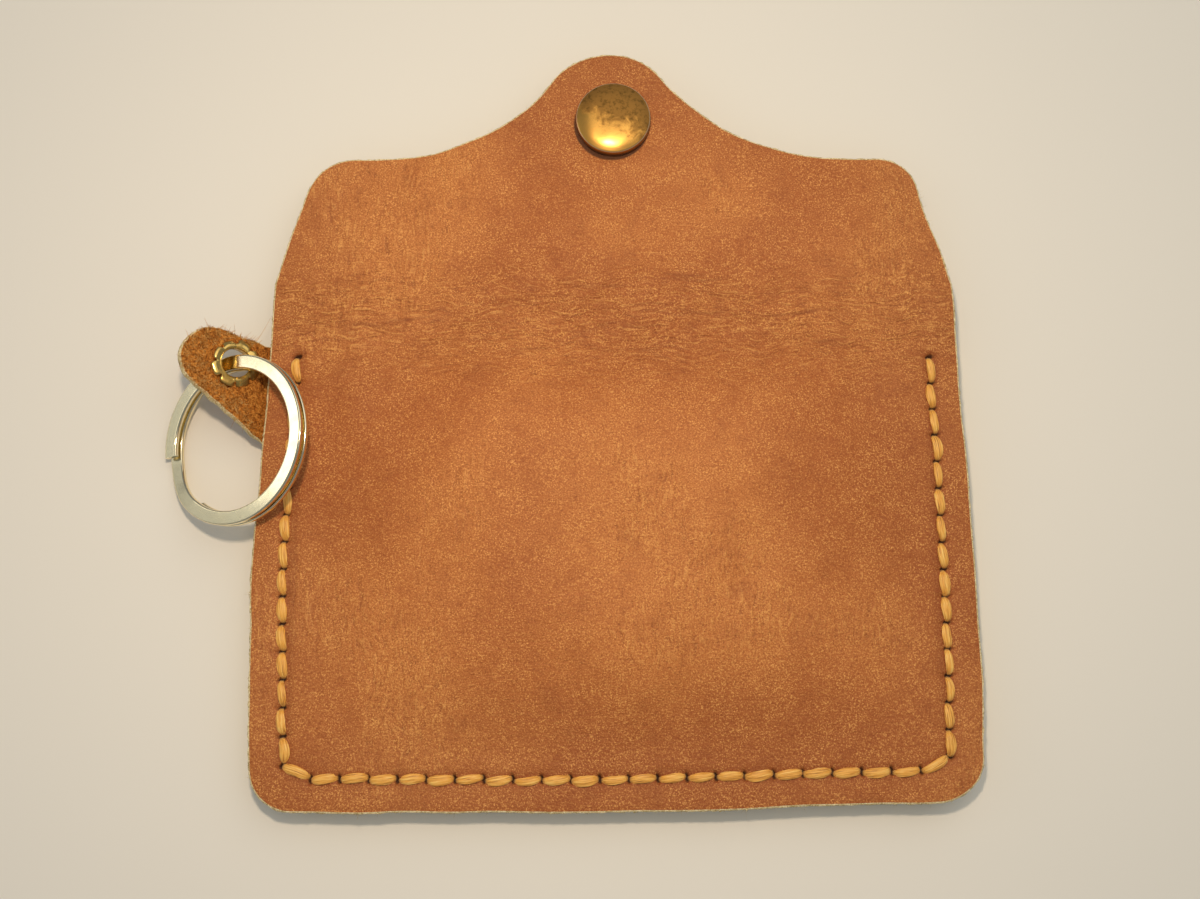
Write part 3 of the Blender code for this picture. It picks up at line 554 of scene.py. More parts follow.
@dataclass(frozen=True)
class Seam:
    """The saddle-stitched seam round three sides of the body."""

    cut: HandCut = HandCut()
    half_width: float = 46.4
    top: float = 64.8
    corner_height: float = 6.4
    bottom: float = 4.5
    bottom_half_width: float = 42.4
    side_stitches: int = 15
    bottom_stitches: int = 21
    slit_length: float = 0.60
    slit_width: float = 0.34
    slit_depth: float = 0.80
    slit_turn: float = 17.0
    valley_width: float = 1.4
    valley_depth: float = 0.16

    @property
    def heights(self) -> Array:
        """Heights in plan of the holes at each side, from the top."""
        return np.linspace(self.top, self.corner_height, self.side_stitches + 1)

    @property
    def places_across(self) -> Array:
        """Places across of the holes at the bottom, from the left."""
        return np.linspace(-self.bottom_half_width, self.bottom_half_width,
                           self.bottom_stitches + 1)

    def holes(self) -> Array:
        """The holes in sewing order: down the left side, along the bottom, up the right."""
        runs = ((-self.half_width, self.heights), (self.places_across, self.bottom),
                (self.half_width, self.heights[::-1]))
        return self.cut.moved(np.concatenate([np.stack(np.broadcast_arrays(x, y), -1)
                                              for x, y in runs]))

    def inward(self) -> Array:
        """Unit vectors at the holes, from the seam towards the middle of the body."""
        holes = self.holes()
        before = np.concatenate([holes[:1], holes[:-1]])
        after = np.concatenate([holes[1:], holes[-1:]])
        return left_of(unit(after - before))

    def slits(self, x: Array, y: Array) -> Array:
        """Share of the awl slits' depth: exp(-(a/l)^4 - (b/w)^2) in each slit's own axes."""
        depth = np.zeros(np.shape(x))
        run = turned(self.inward(), np.float64(math.radians(self.slit_turn)))
        for hole, way in zip(self.holes(), run):
            dx, dy = x - hole[0], y - hole[1]
            along = dx * way[0] + dy * way[1]
            across = dy * way[0] - dx * way[1]
            depth += np.exp(-(along / self.slit_length) ** 4 - (across / self.slit_width) ** 2)
        return np.clip(depth, 0.0, 1.0)

    def distance(self, x: Array, y: Array) -> Array:
        """Distance from points to the line of the seam."""
        holes = self.holes()
        best = np.full(np.shape(x), np.inf)
        first = self.side_stitches + 1
        last = first + self.bottom_stitches
        corners = holes[[0, first - 1, first, (first + last) // 2, last, last + 1, -1]]
        for start, run in zip(corners[:-1], np.diff(corners, axis=0)):
            dx, dy = x - start[0], y - start[1]
            share = np.clip((dx * run[0] + dy * run[1]) / (run @ run), 0.0, 1.0)
            best = np.minimum(best, np.hypot(dx - share * run[0], dy - share * run[1]))
        return best

    def valley(self, x: Array, y: Array) -> Array:
        """Share of the depth of the valley that the tight thread has pulled: exp(-(d/w)^2)."""
        return np.exp(-(self.distance(x, y) / self.valley_width) ** 2)


@dataclass(frozen=True)
class Creases:
    """Wrinkles from folding at the pocket's mouth, and the ranges that they are drawn from."""

    seed: int = 5
    count: int = 95
    middle: float = 70.8
    spread: float = 3.3
    depth: float = 0.05
    width: float = 0.24
    half_span: float = 46.0
    lengths: Pair = (2.5, 11.0)
    slope: float = 0.07
    sways: Pair = (0.1, 0.35)
    pitches: Pair = (4.0, 9.0)
    strengths: Pair = (0.35, 1.0)

    def share(self, x: Array, y: Array) -> Array:
        """Share of the wrinkles' depth at points.

        Each is a shallow groove exp(-(d/w)^2) along a short level line that wanders by a sine.
        """
        draw = np.random.default_rng(self.seed)
        total = np.zeros(np.shape(x))
        for _ in range(self.count):
            dx = x - draw.uniform(-self.half_span, self.half_span)
            level = draw.normal(self.middle, self.spread)
            length = draw.uniform(*self.lengths)
            slope = draw.normal(0.0, self.slope)
            sway, pitch = draw.uniform(*self.sways), draw.uniform(*self.pitches)
            phase, strength = draw.uniform(0.0, math.tau), draw.uniform(*self.strengths)
            line = level + slope * dx + sway * np.sin(math.tau * dx / pitch + phase)
            groove = np.exp(-((y - line) / self.width) ** 2)
            total += strength * groove * bell(dx, 0.0, length, 2.0)
        return total


@dataclass(frozen=True)
class Leatherwork:
    """The body, the fold and the flap, cut from one hide, and the front panel of the pocket."""

    cut: HandCut = HandCut()
    seam: Seam = Seam()
    creases: Creases = Creases()
    thickness: float = 1.8
    # The body: its plan, and what lifts it over the key tab and over the stud
    half_width_bottom: float = 51.3
    half_width_fold: float = 50.5
    corner: float = 6.5
    straight: float = 47.6
    back_border: float = 2.7
    front_border: float = 0.6
    front_height: float = 66.3
    tab_rise: float = 0.9
    tab_lift_start: float = 30.0
    tab_lift_end: float = 51.5
    dome_rise: float = 3.9
    dome_flat: float = 3.75
    stud_push: float = 2.2
    stud_flat: float = 3.7
    stud_height: float = 41.1
    rise_half_width: float = 44.2
    rise_start: float = 7.0
    # The flap's outline
    shoulder: Pair = (44.75, 95.8)
    shoulder_radii: Pair = (6.5, 8.5)
    shoulder_flat: float = 10.9
    shoulder_slope: float = 0.5
    tip_height: float = 112.9
    tip_radius: float = 10.5
    sweep_angle: float = 53.0
    snap_height: float = 101.7
    # Slack leather waves, but not near the seam or the snap, nor at the sides of the pocket
    slack: Waves = Waves(0.22, 11, 26.0)
    taut_seam: float = 2.0
    taut_snap: float = 6.5
    taut_run: float = 9.0
    taut_side_run: float = 8.0
    pocket_end: float = 60.0
    pocket_run: float = 10.0
    pebbles: tuple[Waves, ...] = (Waves(0.012, 3, 1.9, 14), Waves(0.02, 8, 6.0, 10))
    front_pebbles: Waves = Waves(0.012, 4, 1.9, 14)
    side_waver_run: float = 6.0
    bottom_waver: Waves = Waves(0.07, 31, 13.0, 7)
    bottom_waver_run: float = 3.5
    flap_waver: Waves = Waves(0.07, 41, 9.0, 6)
    # The cut edge: its rounding, the rings on it, and how far the wall's fibres stand in or out
    round_over: float = 0.25
    arc_steps: int = 3
    wall_steps: int = 3
    rough: float = 0.05
    # Grid lines stand closer within this reach of a hole, and from here up for the fold
    dense_reach: float = 0.55
    fold_lines: float = 66.0
    # Fibres fray from the cut edge, except by the fold, and some stand together in tufts
    fold_clear: float = 3.0
    fibre_root: float = 0.03
    fibre_width: Pair = (0.018, 0.034)
    tuft_fibres: int = 9
    tuft_reach: float = 2.5
    tuft_share: float = 0.2
    tuft_length: Pair = (0.4, 0.9)
    tufts: tuple[Pair, ...] = ((46.2, 89.6), (50.6, 76.4), (-18.6, 100.2), (-35.5, 0.0),
                               (-22.0, 0.0), (18.0, 0.5), (-51.9, 30.0))

    def rise(self, x: Array, y: Array, flat: float, top: float, power: float) -> Array:
        """The dome over the stud, which dies out at the seams and at a top edge."""
        reach = np.where(y < self.stud_height, self.stud_height - self.rise_start,
                         top - self.stud_height)
        return (bell(x, flat, self.rise_half_width, power)
                * bell(y - self.stud_height, flat, reach, power))

    def hide(self, x: Array, y: Array) -> Array:
        """Height of the grain side of the body, the fold and the flap, without its fine marks."""
        lift = self.tab_rise * smooth_step((y - self.tab_lift_start)
                                           / (self.tab_lift_end - self.tab_lift_start))
        dome = self.dome_rise * self.rise(x, y, self.dome_flat, PLACES.first_bend, 3.0)
        from_snap = np.hypot(x, y - self.snap_height)
        free = (smooth_step((self.seam.distance(x, y) - self.taut_seam) / self.taut_run)
                * smooth_step((from_snap - self.taut_snap) / self.taut_run)
                * smooth_step((self.seam.half_width - np.abs(x)) / self.taut_side_run
                              + (y - self.pocket_end) / self.pocket_run))
        return self.back_border + self.thickness + lift + dome + free * self.slack.at(x, y)

    def front(self, x: Array, y: Array) -> Array:
        """Height of the underside of the front panel."""
        push = self.stud_push * self.rise(x, y, self.stud_flat, self.front_height, 2.0)
        return self.front_border + push

    def marks(self, x: Array, y: Array) -> Array:
        """Shares of slit, of seam valley and of wrinkle at points."""
        return np.stack([self.seam.slits(x, y), self.seam.valley(x, y),
                         self.creases.share(x, y)], -1)

    def grain(self, x: Array, y: Array, marks: Array) -> Array:
        """Height of the grain side with its marks and its pebbling."""
        depths = np.array([self.seam.slit_depth, self.seam.valley_depth, self.creases.depth])
        return self.hide(x, y) - marks @ depths + sum(waves.at(x, y) for waves in self.pebbles)

    def sides(self, y: Array, side: int) -> Array:
        """Half the width of the body on one side: a taper that wavers a little below the fold."""
        share = np.minimum(y / PLACES.first_bend, 1.0)
        taper = self.half_width_bottom + (self.half_width_fold - self.half_width_bottom) * share
        waver = Waves(0.06, 21 + side, 14.0, 5).at(y, side)
        return taper + waver * smooth_step((PLACES.first_bend - y) / self.side_waver_run)

    def body_plan(self, top: float, step: float, fine: float) -> Array:
        """The plan of a panel of the body, in from its outline by the round-over.

        The grid's lines stand closer at the stitch holes. Past the seam they spread to the side
        edges, and each bottom corner's square (a, b) goes to a quarter disc by
        (a sqrt(1 - b^2/2), b sqrt(1 - a^2/2)).

        Args:
            top: Height in plan of the top edge.
            step: Spacing of the lines away from the holes.
            fine: Spacing at the holes.

        Returns:
            Grid of (x, y).
        """
        inset, seam = self.round_over, self.seam
        edge = self.half_width_bottom - inset
        across = np.concatenate([[-seam.half_width], seam.places_across, [seam.half_width]])
        upward = np.concatenate([[seam.bottom], seam.heights, np.arange(self.fold_lines, top, 1.0)])
        u, v = np.meshgrid(spaced(-edge, edge, step, across, self.dense_reach, fine),
                           spaced(inset, top, step, upward, self.dense_reach, fine))
        side = np.where(u > 0, self.sides(v, 1), self.sides(v, -1)) - inset
        beyond = np.clip((np.abs(u) - self.straight) / (edge - self.straight), 0.0, 1.0)
        spread = np.sign(u) * (self.straight + beyond * (side - self.straight))
        x = np.where(beyond > 0, spread, u)
        radius = self.corner - inset
        a = np.clip((np.abs(x) - (side - radius)) / radius, 0.0, 1.0)
        b = np.clip((self.corner - v) / radius, 0.0, 1.0)
        x = x - np.sign(x) * radius * (a - a * np.sqrt(1 - b * b / 2))
        y = v + radius * (b - b * np.sqrt(1 - a * a / 2))
        low = np.clip(1 - v / self.bottom_waver_run, 0.0, 1.0)
        y = y + self.bottom_waver.at(x, 0.0) * low
        return self.cut.moved(np.stack([x, y], -1))

    def flap_outline(self) -> Array:
        """The flap from its right foot to its left: sides, shoulders, hollow sweeps, a tip."""
        foot = np.array([self.half_width_fold, PLACES.second_bend + 0.15])
        shoulder = np.array(self.shoulder)
        angle = math.radians(self.sweep_angle)
        slope = math.radians(self.shoulder_slope)
        tip_centre = np.array([0.0, self.tip_height - self.tip_radius])
        sweep_radius = ((shoulder[0] - self.shoulder_flat - self.tip_radius * math.sin(angle))
                        / (math.sin(angle) - math.sin(slope)))
        away = (self.tip_radius + sweep_radius) * np.array([math.sin(angle), math.cos(angle)])
        sweep = arc(tip_centre + away, sweep_radius, -QUARTER - slope, -QUARTER - angle, 48)
        tip = arc(tip_centre, self.tip_radius, QUARTER - angle, QUARTER, 30)
        right, left = (np.concatenate([[[self.half_width_fold, PLACES.mouth]], [foot],
                                       rounded(foot, shoulder, sweep[0], radius), sweep, tip[1:]])
                       for radius in self.shoulder_radii)
        return np.concatenate([right, left[-2::-1] * np.array([-1.0, 1.0])])

    def flap_plan(self, step: float, fine: float) -> Array:
        """The plan of the flap: upright columns from the seam up to the outline.

        The columns stand at equal lengths along the outline, and the outline is first drawn in by
        the round-over along its own normal.

        Args:
            step: Spacing along the outline and of the rows far from the fold.
            fine: Spacing of the rows in the fold.

        Returns:
            Grid of (x, y).
        """
        line = resampled(self.flap_outline()[::-1], step)
        inset = self.round_over + self.flap_waver.at(*line.T)
        inner = line - left_of(unit(np.gradient(line, axis=0))) * inset[:, None]
        inner = inner[inner[:, 1] > PLACES.second_bend + 0.4]
        x = np.maximum.accumulate(inner[:, 0]) + np.linspace(0.0, 0.02, len(inner))
        rows = spaced(0.0, self.tip_height - PLACES.mouth, step * 1.15, np.arange(0.0, 8.0, 1.0),
                      1.0, fine)
        y = PLACES.mouth + (rows / rows[-1])[:, None] * (inner[:, 1] - PLACES.mouth)
        # The foot widens to meet the body's piece without a step
        edge = np.where(x > 0, x[-1], -x[0])
        widen = (self.half_width_fold - self.round_over) / edge - 1.0
        foot = 1.0 - smooth_step((y - PLACES.mouth) / (PLACES.second_bend + 1.5 - PLACES.mouth))
        return self.cut.moved(np.stack([x * (1.0 + widen * foot), y], -1))

    def sheet(self, plan: Array, top: Array, under: Array, marks: Array, seam_row: int | None,
              sides: tuple[Side, Side], seed: int) -> Mesh:
        """A closed piece of leather: two faces over one plan, and the cut edge round them.

        The plan stands in from the true outline by the round-over. From its border the edge goes
        out by r sin a and down by r (1 - cos a), then straight down the wall, and back in.

        Args:
            plan: Grid of (x, y), with y rising by rows and x by columns.
            top: Heights of the upper face.
            under: Heights of the lower face.
            marks: Three shares at each point, of slit, of seam valley and of wrinkle.
            seam_row: The grid's row that is a flush seam and not a cut edge.
            sides: What the upper and the lower face show.
            seed: Seed of the wall's roughness.

        Returns:
            The mesh.
        """
        border = Border(plan)
        inside = (border.column > 0) & (border.column < plan.shape[1] - 1)
        flush = (border.row == seam_row) & inside if seam_row is not None else inside & False
        soft = np.where(flush, 0.0, 1.0)
        # A seam's two end points go out along the seam and not across it
        seam_end = ~flush & (np.roll(flush, 1) | np.roll(flush, -1))
        outward = np.where(seam_end[:, None], np.sign(border.points) * np.array([1.0, 0.0]),
                           border.outward)
        angle = np.linspace(0.0, QUARTER, self.arc_steps + 1)[1:]
        out = self.round_over * np.sin(angle)
        down = self.round_over * (1.0 - np.cos(angle))[:, None]
        high, low = (face.ravel()[border.order] for face in (top, under))
        wall = np.linspace(0.0, 1.0, self.wall_steps + 2)[1:-1, None]
        outs = np.concatenate([out, np.full(self.wall_steps, self.round_over), out[::-1]])
        heights = np.concatenate([
            high - down,
            high - self.round_over + (low - high + 2 * self.round_over) * wall,
            low + down[::-1]])
        noise = np.random.default_rng(seed).normal(0.0, self.rough, heights.shape)
        noise[0] = 0.0
        reach = (outs[:, None] + noise) * soft
        rings = raised(border.points + outward * reach[:, :, None], heights)
        points = np.concatenate([part.reshape(-1, 3)
                                 for part in (raised(plan, top), rings, raised(plan, under))])
        below = top.size + heights.size
        loops = np.concatenate([[border.order],
                                top.size + np.arange(heights.size).reshape(heights.shape),
                                [border.order + below]])
        strips = np.stack([loops[:-1], loops[1:], np.roll(loops[1:], -1, axis=1),
                           np.roll(loops[:-1], -1, axis=1)], -1)
        faces = grid_faces(*top.shape)
        flat_marks = marks.reshape(-1, 3)
        lay = np.concatenate([flat_marks, np.zeros((heights.size, 3)), flat_marks])
        return Mesh().add(points, [faces, strips.reshape(-1, 4), faces[:, ::-1] + below], lay,
                          (sides[0], Side.FLESH, sides[1]))

    def build(self, grain: Material, flesh: Material) -> None:
        """Build the body with its half of the fold, the flap with the other, and the front panel.

        Args:
            grain: Finish of the grain side.
            flesh: Finish of the flesh side and of the cut edges.
        """
        half = PLACES.mouth - PLACES.first_bend
        body = self.body_plan(PLACES.mouth, 0.85, 0.2)
        for name, replaced, bodies, plan, seam_row, bends, seed in (
                ("leather_body", ("back_panel",), ("body", "fold"), body, len(body) - 1,
                 (PLACES.first_bend - half, PLACES.mouth), 51),
                ("leather_flap", ("flap", "fold_strip"), ("fold", "flap"),
                 self.flap_plan(0.5, 0.24), 0, (PLACES.mouth, PLACES.second_bend + half), 52)):
            x, y = plan[..., 0], plan[..., 1]
            marks = self.marks(x, y)
            sheet = self.sheet(plan, self.grain(x, y, marks), self.hide(x, y) - self.thickness,
                               marks, seam_row, (Side.GRAIN, Side.FLESH), seed)
            piece = sheet.build(name, (grain, flesh), "grain_leather", replaced)
            start, end = (PLACES.in_frame((0.0, bend, self.back_border + self.tab_rise))
                          for bend in bends)
            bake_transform(piece)

        plan = self.body_plan(self.front_height - self.round_over, 1.1, 0.3)
        x, y = plan[..., 0], plan[..., 1]
        marks = self.marks(x, y)
        under = self.front(x, y) + 0.5 * marks[..., 0] + self.front_pebbles.at(x, y)
        self.sheet(plan, self.front(x, y) + self.thickness, under, marks, None,
                   (Side.FLESH, Side.GRAIN), 53).build(
            "leather_front", (grain, flesh), "grain_leather", ("front_panel",), "body")

    def build_fibres(self, flesh: Material) -> None:
        """Build the short fibres that fray from the raw edges of the body and of the flap."""
        draw = np.random.default_rng(54)
        below = PLACES.first_bend - self.fold_clear
        for name, body, plan, count, low in (
                ("body_edge_fibres", "body", self.body_plan(below, 2.0, 1.0), 620, 0.35),
                ("flap_edge_fibres", "flap", self.flap_plan(1.0, 1.0), 420, self.round_over)):
            border = Border(plan)
            if body == "flap":
                loose = border.points[:, 1] > PLACES.second_bend + self.fold_clear
            else:
                loose = border.row < len(plan) - 1
            pick = draw.choice(np.where(loose)[0], count)
            slide = draw.uniform(-0.5, 0.5, (count, 1))
            outward = border.outward[pick]
            root = border.points[pick] + slide * border.along[pick]
            root = root + outward * (self.round_over - self.fibre_root)
            height = (self.hide(*root.T) - self.round_over
                      - draw.uniform(0.0, self.thickness - 2 * low, count))
            roots = raised(root, height)
            way = np.concatenate([outward + draw.normal(0.0, 0.5, (count, 2)),
                                  draw.normal(0.1, 0.4, (count, 1))], -1)
            bend = draw.normal(0.0, 0.5, (count, 3)) * np.array([1.0, 1.0, 0.4])
            length = draw.gamma(2.2, 0.085, count)
            for tuft in self.tufts:
                away = np.hypot(roots[:, 0] - tuft[0], roots[:, 1] - tuft[1])
                near = np.argsort(away)[:self.tuft_fibres]
                near = near[away[near] < self.tuft_reach]
                spot = roots[near[:1], :2]
                roots[near, :2] = spot + (roots[near, :2] - spot) * self.tuft_share
                length[near] = draw.uniform(*self.tuft_length, len(near))
            width = draw.uniform(*self.fibre_width, count)
            Mesh().hairs(roots, unit(way), bend, length, width).build(
                name, (flesh,), "grain_leather", body=body, crisp=ALL_SMOOTH)


@dataclass(frozen=True)
class Stitching:
    """The waxed thread: two flat strands that change sides at every hole."""

    leather: Leatherwork
    offset: float = 0.21
    width: float = 1.34
    height: float = 0.52
    height_below: float = 0.34
    narrow_share: float = 0.42
    end_share: float = 0.72
    dive: float = 1.2
    wander: float = 0.07
    bow: float = 0.11
    puffs: Pair = (0.85, 1.12)
    fats: Pair = (0.82, 1.12)
    ridges: int = 6
    ridge: float = 0.07
    twist: float = 1.1
    # How high the middle line stands in thread heights, and how much of the valley it follows
    proud: float = 0.34
    seated: float = 0.6
    below_gap: float = 0.06
    below_most: float = 0.3
    fullness: float = 0.65
    hole_shade_gain: float = 10.0
    hole_shade_start: float = 0.74
    hole_shade_run: float = 0.22
    stations: int = 21
    around: int = 18

    def strand(self, mesh: Mesh, first_on_top: bool, seed: int) -> None:
        """Add one strand.

        Over a stitch the plan is a straight line from the outer side of one hole to the inner side
        of the next, and the height over the leather is h - (h + dive) |2t - 1|^4.

        Args:
            mesh: The mesh that takes it.
            first_on_top: Whether its first stitch is on the grain side.
            seed: Seed of the small differences between stitches.
        """
        seam = self.leather.seam
        holes, inward = seam.holes(), seam.inward()
        count = len(holes) - 1
        draw = np.random.default_rng(seed)
        above = ((np.arange(count) % 2 == 0) == first_on_top)[:, None]
        side = np.where(above, self.offset, -self.offset)
        wander = draw.normal(0.0, self.wander, (2, count, 2))
        start = holes[:-1] - inward[:-1] * side + wander[0]
        run = holes[1:] + inward[1:] * side + wander[1] - start
        across = unit(left_of(run))
        t = 0.5 - 0.5 * np.cos(np.pi * np.linspace(0.0, 1.0, self.stations))
        arch, ends = np.sin(np.pi * t), np.abs(2 * t - 1)
        bow = draw.normal(0.0, self.bow, count)[:, None] * arch
        plan = start[:, None] + run[:, None] * t[:, None] + across[:, None] * bow[:, :, None]
        thick = (self.height * (self.end_share + (1 - self.end_share) * (1 - ends ** 3))
                 * draw.uniform(*self.puffs, count)[:, None])
        proud = self.proud * thick
        lift = proud - (proud + self.dive) * ends ** 4
        x, y = plan[..., 0], plan[..., 1]
        over = self.leather.hide(x, y) - self.seated * seam.valley_depth + lift
        below = self.leather.front(x, y) - np.minimum(lift + self.below_gap, self.below_most)
        path = raised(plan, np.where(above, over, below)).reshape(-1, 3)
        wide = (self.width * draw.uniform(*self.fats, count)[:, None]
                * (self.narrow_share + (1 - self.narrow_share) * arch ** self.fullness))
        half = np.stack([wide, np.where(above, thick, self.height_below)], -1).reshape(-1, 1, 2) / 2
        length = length_along(path)[:, None]
        angle = full_turn(self.around)
        ridge = 1 + self.ridge * np.cos(self.ridges * angle + self.twist * length)
        section = half * round_about(angle) * ridge[:, :, None]
        # The last part of the lay grows where the thread sinks into a hole, for the painted shade
        # there
        sunk = self.hole_shade_gain * smooth_step((ends - self.hole_shade_start) / self.hole_shade_run)
        lay = np.stack([np.broadcast_to(length, ridge.shape), section[..., 0],
                        section[..., 1] + np.tile(sunk, count)[:, None]], -1)
        sideways = np.repeat(raised(across, np.zeros(count)), self.stations, axis=0)
        mesh.tube(path, sideways, section, lay)

    def build(self, wax: Material) -> None:
        """Build both strands as one piece."""
        mesh = Mesh()
        self.strand(mesh, True, 61)
        self.strand(mesh, False, 62)
        mesh.build("waxed_stitches", (wax,), "waxed_thread", ("stitch_thread",), "body", 70.0)


@dataclass(frozen=True)
class KeyTab:
    """The tab of split leather that leaves the body on the left, rough side up, and its eyelet."""

    tilt: float = 33.0
    root_thickness: float = 0.6
    thickness: float = 1.3
    skive: float = 2.2
    low: float = 51.9
    high: float = 66.9
    root_depth: float = 7.5
    root_inset: float = 0.7
    neck: float = 0.3
    end_reach: float = 8.4
    end_height: float = 63.8
    end_radius: float = 4.8
    bend_reach: float = 1.2
    round_over: float = 0.28
    edge_waver: Waves = Waves(0.10, 71, 4.0, 6)
    nap: tuple[Waves, ...] = (Waves(0.045, 72, 0.8, 20), Waves(0.05, 73, 2.3, 9))
    hole: float = 2.95
    bore: float = 2.4
    mouth: float = 2.12
    wall: float = 0.25
    flange: float = 3.55
    petals: int = 8
    petal_steps: int = 26
    # Steps of the leather's rays along its outline, out from the hole and round the edge
    step: float = 0.22
    out_steps: int = 60
    edge_steps: int = 8
    nap_start: float = -0.5
    nap_run: float = 1.5
    # The loose fibres, and the place of one that is longer
    fibres: int = 2200
    fibre_clear: float = 1.6
    fibre_width: Pair = (0.028, 0.055)
    fibre_root: float = 0.03
    stray: Pair = (9.6, 68.0)
    stray_length: float = 1.6

    @property
    def eyelet(self) -> Array:
        """The middle of the eyelet on the flat tab."""
        out = (PLACES.tab_hinge[0] - PLACES.eyelet[0]) / math.cos(math.radians(self.tilt))
        return np.array([out, PLACES.eyelet[1]])

    def stand(self, flat: Array) -> Array:
        """Put points of the flat tab in their place.

        A point at s outwards and h up turns about the hinge by the tilt times the smooth step of
        (s + reach) / (2 reach).

        Args:
            flat: Points (outwards from the hinge, y, height over the middle of the leather).

        Returns:
            Points in wallet coordinates.
        """
        turn = math.radians(self.tilt) * smooth_step((flat[..., 0] + self.bend_reach)
                                                     / (2 * self.bend_reach))
        out_up = turned(flat[..., ::2], turn)
        return np.stack([PLACES.tab_hinge[0] - out_up[..., 0], flat[..., 1],
                         PLACES.tab_hinge[2] + out_up[..., 1]], -1)

    def outline(self) -> Array:
        """The flat tab: a root between the panels, and sides that run to a round end."""
        centre = np.array([self.end_reach, self.end_height])
        low, high = np.array([self.neck, self.low]), np.array([self.neck, self.high])
        angles = []
        for corner, side in ((low, -1), (high, 1)):
            reach = corner - centre
            touch = math.acos(self.end_radius / np.linalg.norm(reach))
            angles.append((math.atan2(reach[1], reach[0]) - side * touch) % math.tau)
        start, end = angles
        if start > end:
            start -= math.tau
        top = [-self.root_depth, self.high - self.root_inset]
        return np.concatenate([[top, [-self.root_depth, self.low], low],
                               arc(centre, self.end_radius, start, end, 60), [high, top]])

    def build_leather(self, suede: Material, flesh: Material) -> None:
        """Build the tab as rays from the eyelet's hole to the outline, closed over both edges.

        Args:
            suede: Finish of its two rough faces.
            flesh: Finish of its cut edge.
        """
        edge = resampled(self.outline(), self.step)[:-1]
        ray = unit(edge - self.eyelet)
        outer = edge - ray * (self.round_over - self.edge_waver.at(*edge.T)[:, None])
        inner = self.eyelet + ray * self.hole
        share = np.linspace(0.0, 1.0, self.out_steps)
        plan = inner + (outer - inner) * share[:, None, None]
        x, y = plan[..., 0], plan[..., 1]
        thick = self.root_thickness + (self.thickness - self.root_thickness) * smooth_step(
            (x - self.neck) / self.skive)
        nap = (sum(waves.at(x, y) for waves in self.nap)
               * smooth_step((x - self.nap_start) / self.nap_run))
        angle = np.linspace(0.0, math.pi, self.edge_steps)[1:-1, None]
        roll = outer + ray * (self.round_over * np.sin(angle))[:, :, None]
        rings = np.concatenate([raised(plan, thick / 2 + nap),
                                raised(roll, thick[-1] / 2 * np.cos(angle)),
                                raised(plan, -thick / 2)[::-1]])
        rows, columns = rings.shape[:2]
        faces = grid_faces(rows, columns, wrap_rows=True, wrap_columns=True)
        first, last = (len(share) - 1) * columns, (len(share) + len(angle)) * columns
        piece = Mesh().add(self.stand(rings).reshape(-1, 3),
                           [faces[:first], faces[first:last], faces[last:]], rings.reshape(-1, 3),
                           (Side.GRAIN, Side.FLESH, Side.GRAIN)).build(
            "tab_leather", (suede, flesh), "rough_leather", ("tab_root", "tab_end"), crisp=60.0)
        start, end = (PLACES.in_frame(PLACES.tab_hinge + np.array([reach, 0.0, 0.0]))
                      for reach in (self.bend_reach, -self.bend_reach))
        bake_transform(piece)

    def build_fibres(self, flesh: Material) -> None:
        """Build the loose fibres on the tab's rough side and along its cut edge."""
        draw = np.random.default_rng(74)
        edge = resampled(self.outline(), 0.1)
        outside = edge[edge[:, 0] > self.fibre_clear]
        pick = outside[draw.integers(0, len(outside), self.fibres)]
        share = np.sqrt(draw.uniform(0.3, 0.95, self.fibres))
        plan = self.eyelet + (pick - self.eyelet) * share[:, None]
        away = np.hypot(*(plan - self.eyelet).T)
        plan = plan[(away > self.flange + 0.1) & (plan[:, 0] > self.fibre_clear)]
        count = len(plan)
        heading = draw.uniform(0.0, math.tau, count)
        flat = raised(plan, np.full(count, self.thickness / 2 - self.fibre_root))
        direction = raised(round_about(heading), draw.uniform(0.05, 0.5, count))
        bend = draw.normal(0.0, 0.9, (count, 3)) * np.array([1.0, 1.0, 0.35])
        length = draw.gamma(5.0, 0.075, count)
        tips = self.stand(flat + unit(direction)) - self.stand(flat)
        turn = self.stand(flat + bend) - self.stand(flat)
        # One long fibre stands off the far edge of the tab
        length[np.argmin(np.hypot(*(plan - self.stray).T))] = self.stray_length
        width = draw.uniform(*self.fibre_width, count)
        Mesh().hairs(self.stand(flat), unit(tips), turn, length, width).build(
            "tab_fibres", (flesh,), "rough_leather", body="key_tab", crisp=ALL_SMOOTH)

    def build_eyelet(self, brass: Material) -> None:
        """Build the eyelet: a rolled flange below, a barrel, and a flange torn into petals above.

        The profile goes round as (r cos a, r sin a, z). On the upper flange r shrinks between the
        petals by notches |2s - 1|^6, and each petal has its own length and tilt.
        """
        draw = np.random.default_rng(75)
        seat = self.thickness / 2 + 0.12
        steps = self.petals * self.petal_steps
        angle = full_turn(steps)
        number, within = np.divmod(angle * self.petals / math.tau, 1.0)
        number = number.astype(int) % self.petals
        notch = np.abs(2 * within - 1) ** 6
        reach = draw.uniform(0.78, 1.20, self.petals)[number]
        tilt = draw.uniform(-0.16, 0.22, self.petals)[number]
        bore, barrel, flange, mouth = self.bore, self.bore + self.wall, self.flange, self.mouth
